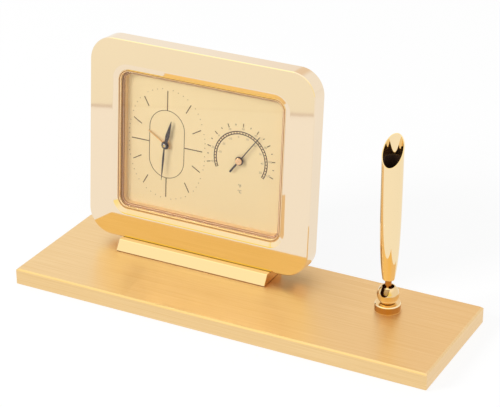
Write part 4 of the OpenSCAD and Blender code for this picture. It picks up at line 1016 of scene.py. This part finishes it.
def makeWorld():
    # a white room: plain light on the object, and full white where the camera, metal or glass sees it.
    # Metal also finds tinted walls in it and a brighter ceiling
    world = bpy.data.worlds.new("whiteRoom")
    world.use_nodes = True
    tree = world.node_tree
    tree.nodes.clear()
    direction = addNode(tree, "SeparateXYZ", {0: addNode(tree, "TexCoord").outputs["Generated"]}).outputs
    wall, level = linear(lightSettings["frontHigh"]), 1.0
    for tint, strength, steps in lightSettings["room"]:
        share = 1.0
        for axis, start, end in steps:
            step = addNode(tree, "MapRange", {"Value": direction[axis], "From Min": start, "From Max": end},
                           interpolation_type="SMOOTHSTEP")
            share = addNode(tree, "Math", {0: share, 1: step}, operation="MULTIPLY")
        if tint:
            laid = addNode(tree, "Mix", {"Factor": share, 6: wall, 7: linear(tint)}, data_type="RGBA")
            wall = laid.outputs[2]
        lift = addNode(tree, "MapRange", {"Value": share, "To Min": 1.0, "To Max": strength})
        level = addNode(tree, "Math", {0: level, 1: lift}, operation="MULTIPLY")
    inMetal = addNode(tree, "Background", {"Color": wall, "Strength": level})
    strength = addNode(tree, "MapRange", {
        "Value": seenDirectly(tree), "To Min": lightSettings["worldLight"], "To Max": 1.0})
    room = addNode(tree, "Background", {"Color": linear(lightSettings["white"]), "Strength": strength})
    glossy = addNode(tree, "LightPath").outputs["Is Glossy Ray"]
    both = addNode(tree, "MixShader", {0: glossy, 1: room, 2: inMetal})
    addNode(tree, "OutputWorld", {"Surface": both})
    bpy.context.scene.world = world


def makeLamp(name, place, size, watts):
    data = bpy.data.lights.new(name, "AREA")
    data.shape = "SQUARE"
    data.size = size * mm
    data.energy = watts
    lamp = newObject(name, data)
    lamp.visible_glossy = False  # the metal shows the white room and not the lamp
    aim = (Vector(lightSettings["aim"]) - Vector(place)).to_track_quat("-Z", "Y")
    lamp.matrix_world = Matrix.Translation(Vector(place) * mm) @ aim.to_matrix().to_4x4()


def makeFloor():
    # a white table under a sheet of white paper: it keeps the object's soft shadow under a white that the
    # camera, metal and glass see. Metal also finds the sheet's edge, and the creamier table past it
    settings = {"half": 4000, "paper": (0.85, 0.85, 0.85, 1), "white": (1, 1, 1, 1), "whiteShare": 0.8,
                "whiteLevel": 1.09, "edgePlace": 391, "edgeWidth": 9, "edgeTurn": 33.4,
                "edge": "#D8C8BE", "table": "#FBF8E8"}
    half, white, edge = settings["half"], settings["white"], settings["edgePlace"]
    corners = [(-half, -half, 0), (half, -half, 0), (half, half, 0), (-half, half, 0)]
    floor = meshPiece("floor", corners, [[0, 1, 2, 3]])
    material, tree = newMaterial("whiteTable")
    turn = math.radians(settings["edgeTurn"])
    place = addNode(tree, "TexCoord").outputs["Object"]
    away = addNode(tree, "VectorMath", {0: place, 1: (-math.sin(turn), -math.cos(turn), 0)},
                   operation="DOT_PRODUCT")
    past = addNode(tree, "MapRange", {"Value": away.outputs["Value"], "From Min": edge * mm,
                                      "From Max": (edge + settings["edgeWidth"]) * mm})
    middle, within = 0.5, 0.499
    onEdge = addNode(tree, "Math", {0: past, 1: middle, 2: within}, operation="COMPARE")
    tone = white
    for share, tint in ((past, settings["table"]), (onEdge, settings["edge"])):
        tone = addNode(tree, "Mix", {"Factor": share, 6: tone, 7: linear(tint)}, data_type="RGBA").outputs[2]
    glossy = addNode(tree, "LightPath").outputs["Is Glossy Ray"]
    seenTone = addNode(tree, "Mix", {"Factor": glossy, 6: white, 7: tone}, data_type="RGBA").outputs[2]
    seen = addNode(tree, "Emission", {"Color": seenTone, "Strength": settings["whiteLevel"]})
    paper = addNode(tree, "BsdfDiffuse", {"Color": settings["paper"]})
    share = addNode(tree, "Math", {0: seenDirectly(tree), 1: settings["whiteShare"]}, operation="MULTIPLY")
    both = addNode(tree, "MixShader", {0: share, 1: paper, 2: seen})
    floor.data.materials.append(finishMaterial(material, both))


makeCamera()
makeWorld()
makeLamp("keyLamp", **lightSettings["key"])
makeLamp("fillLamp", **lightSettings["fill"])
makeFloor()
bpy.context.scene.view_settings.view_transform = "Standard"
print("camera and light ready")
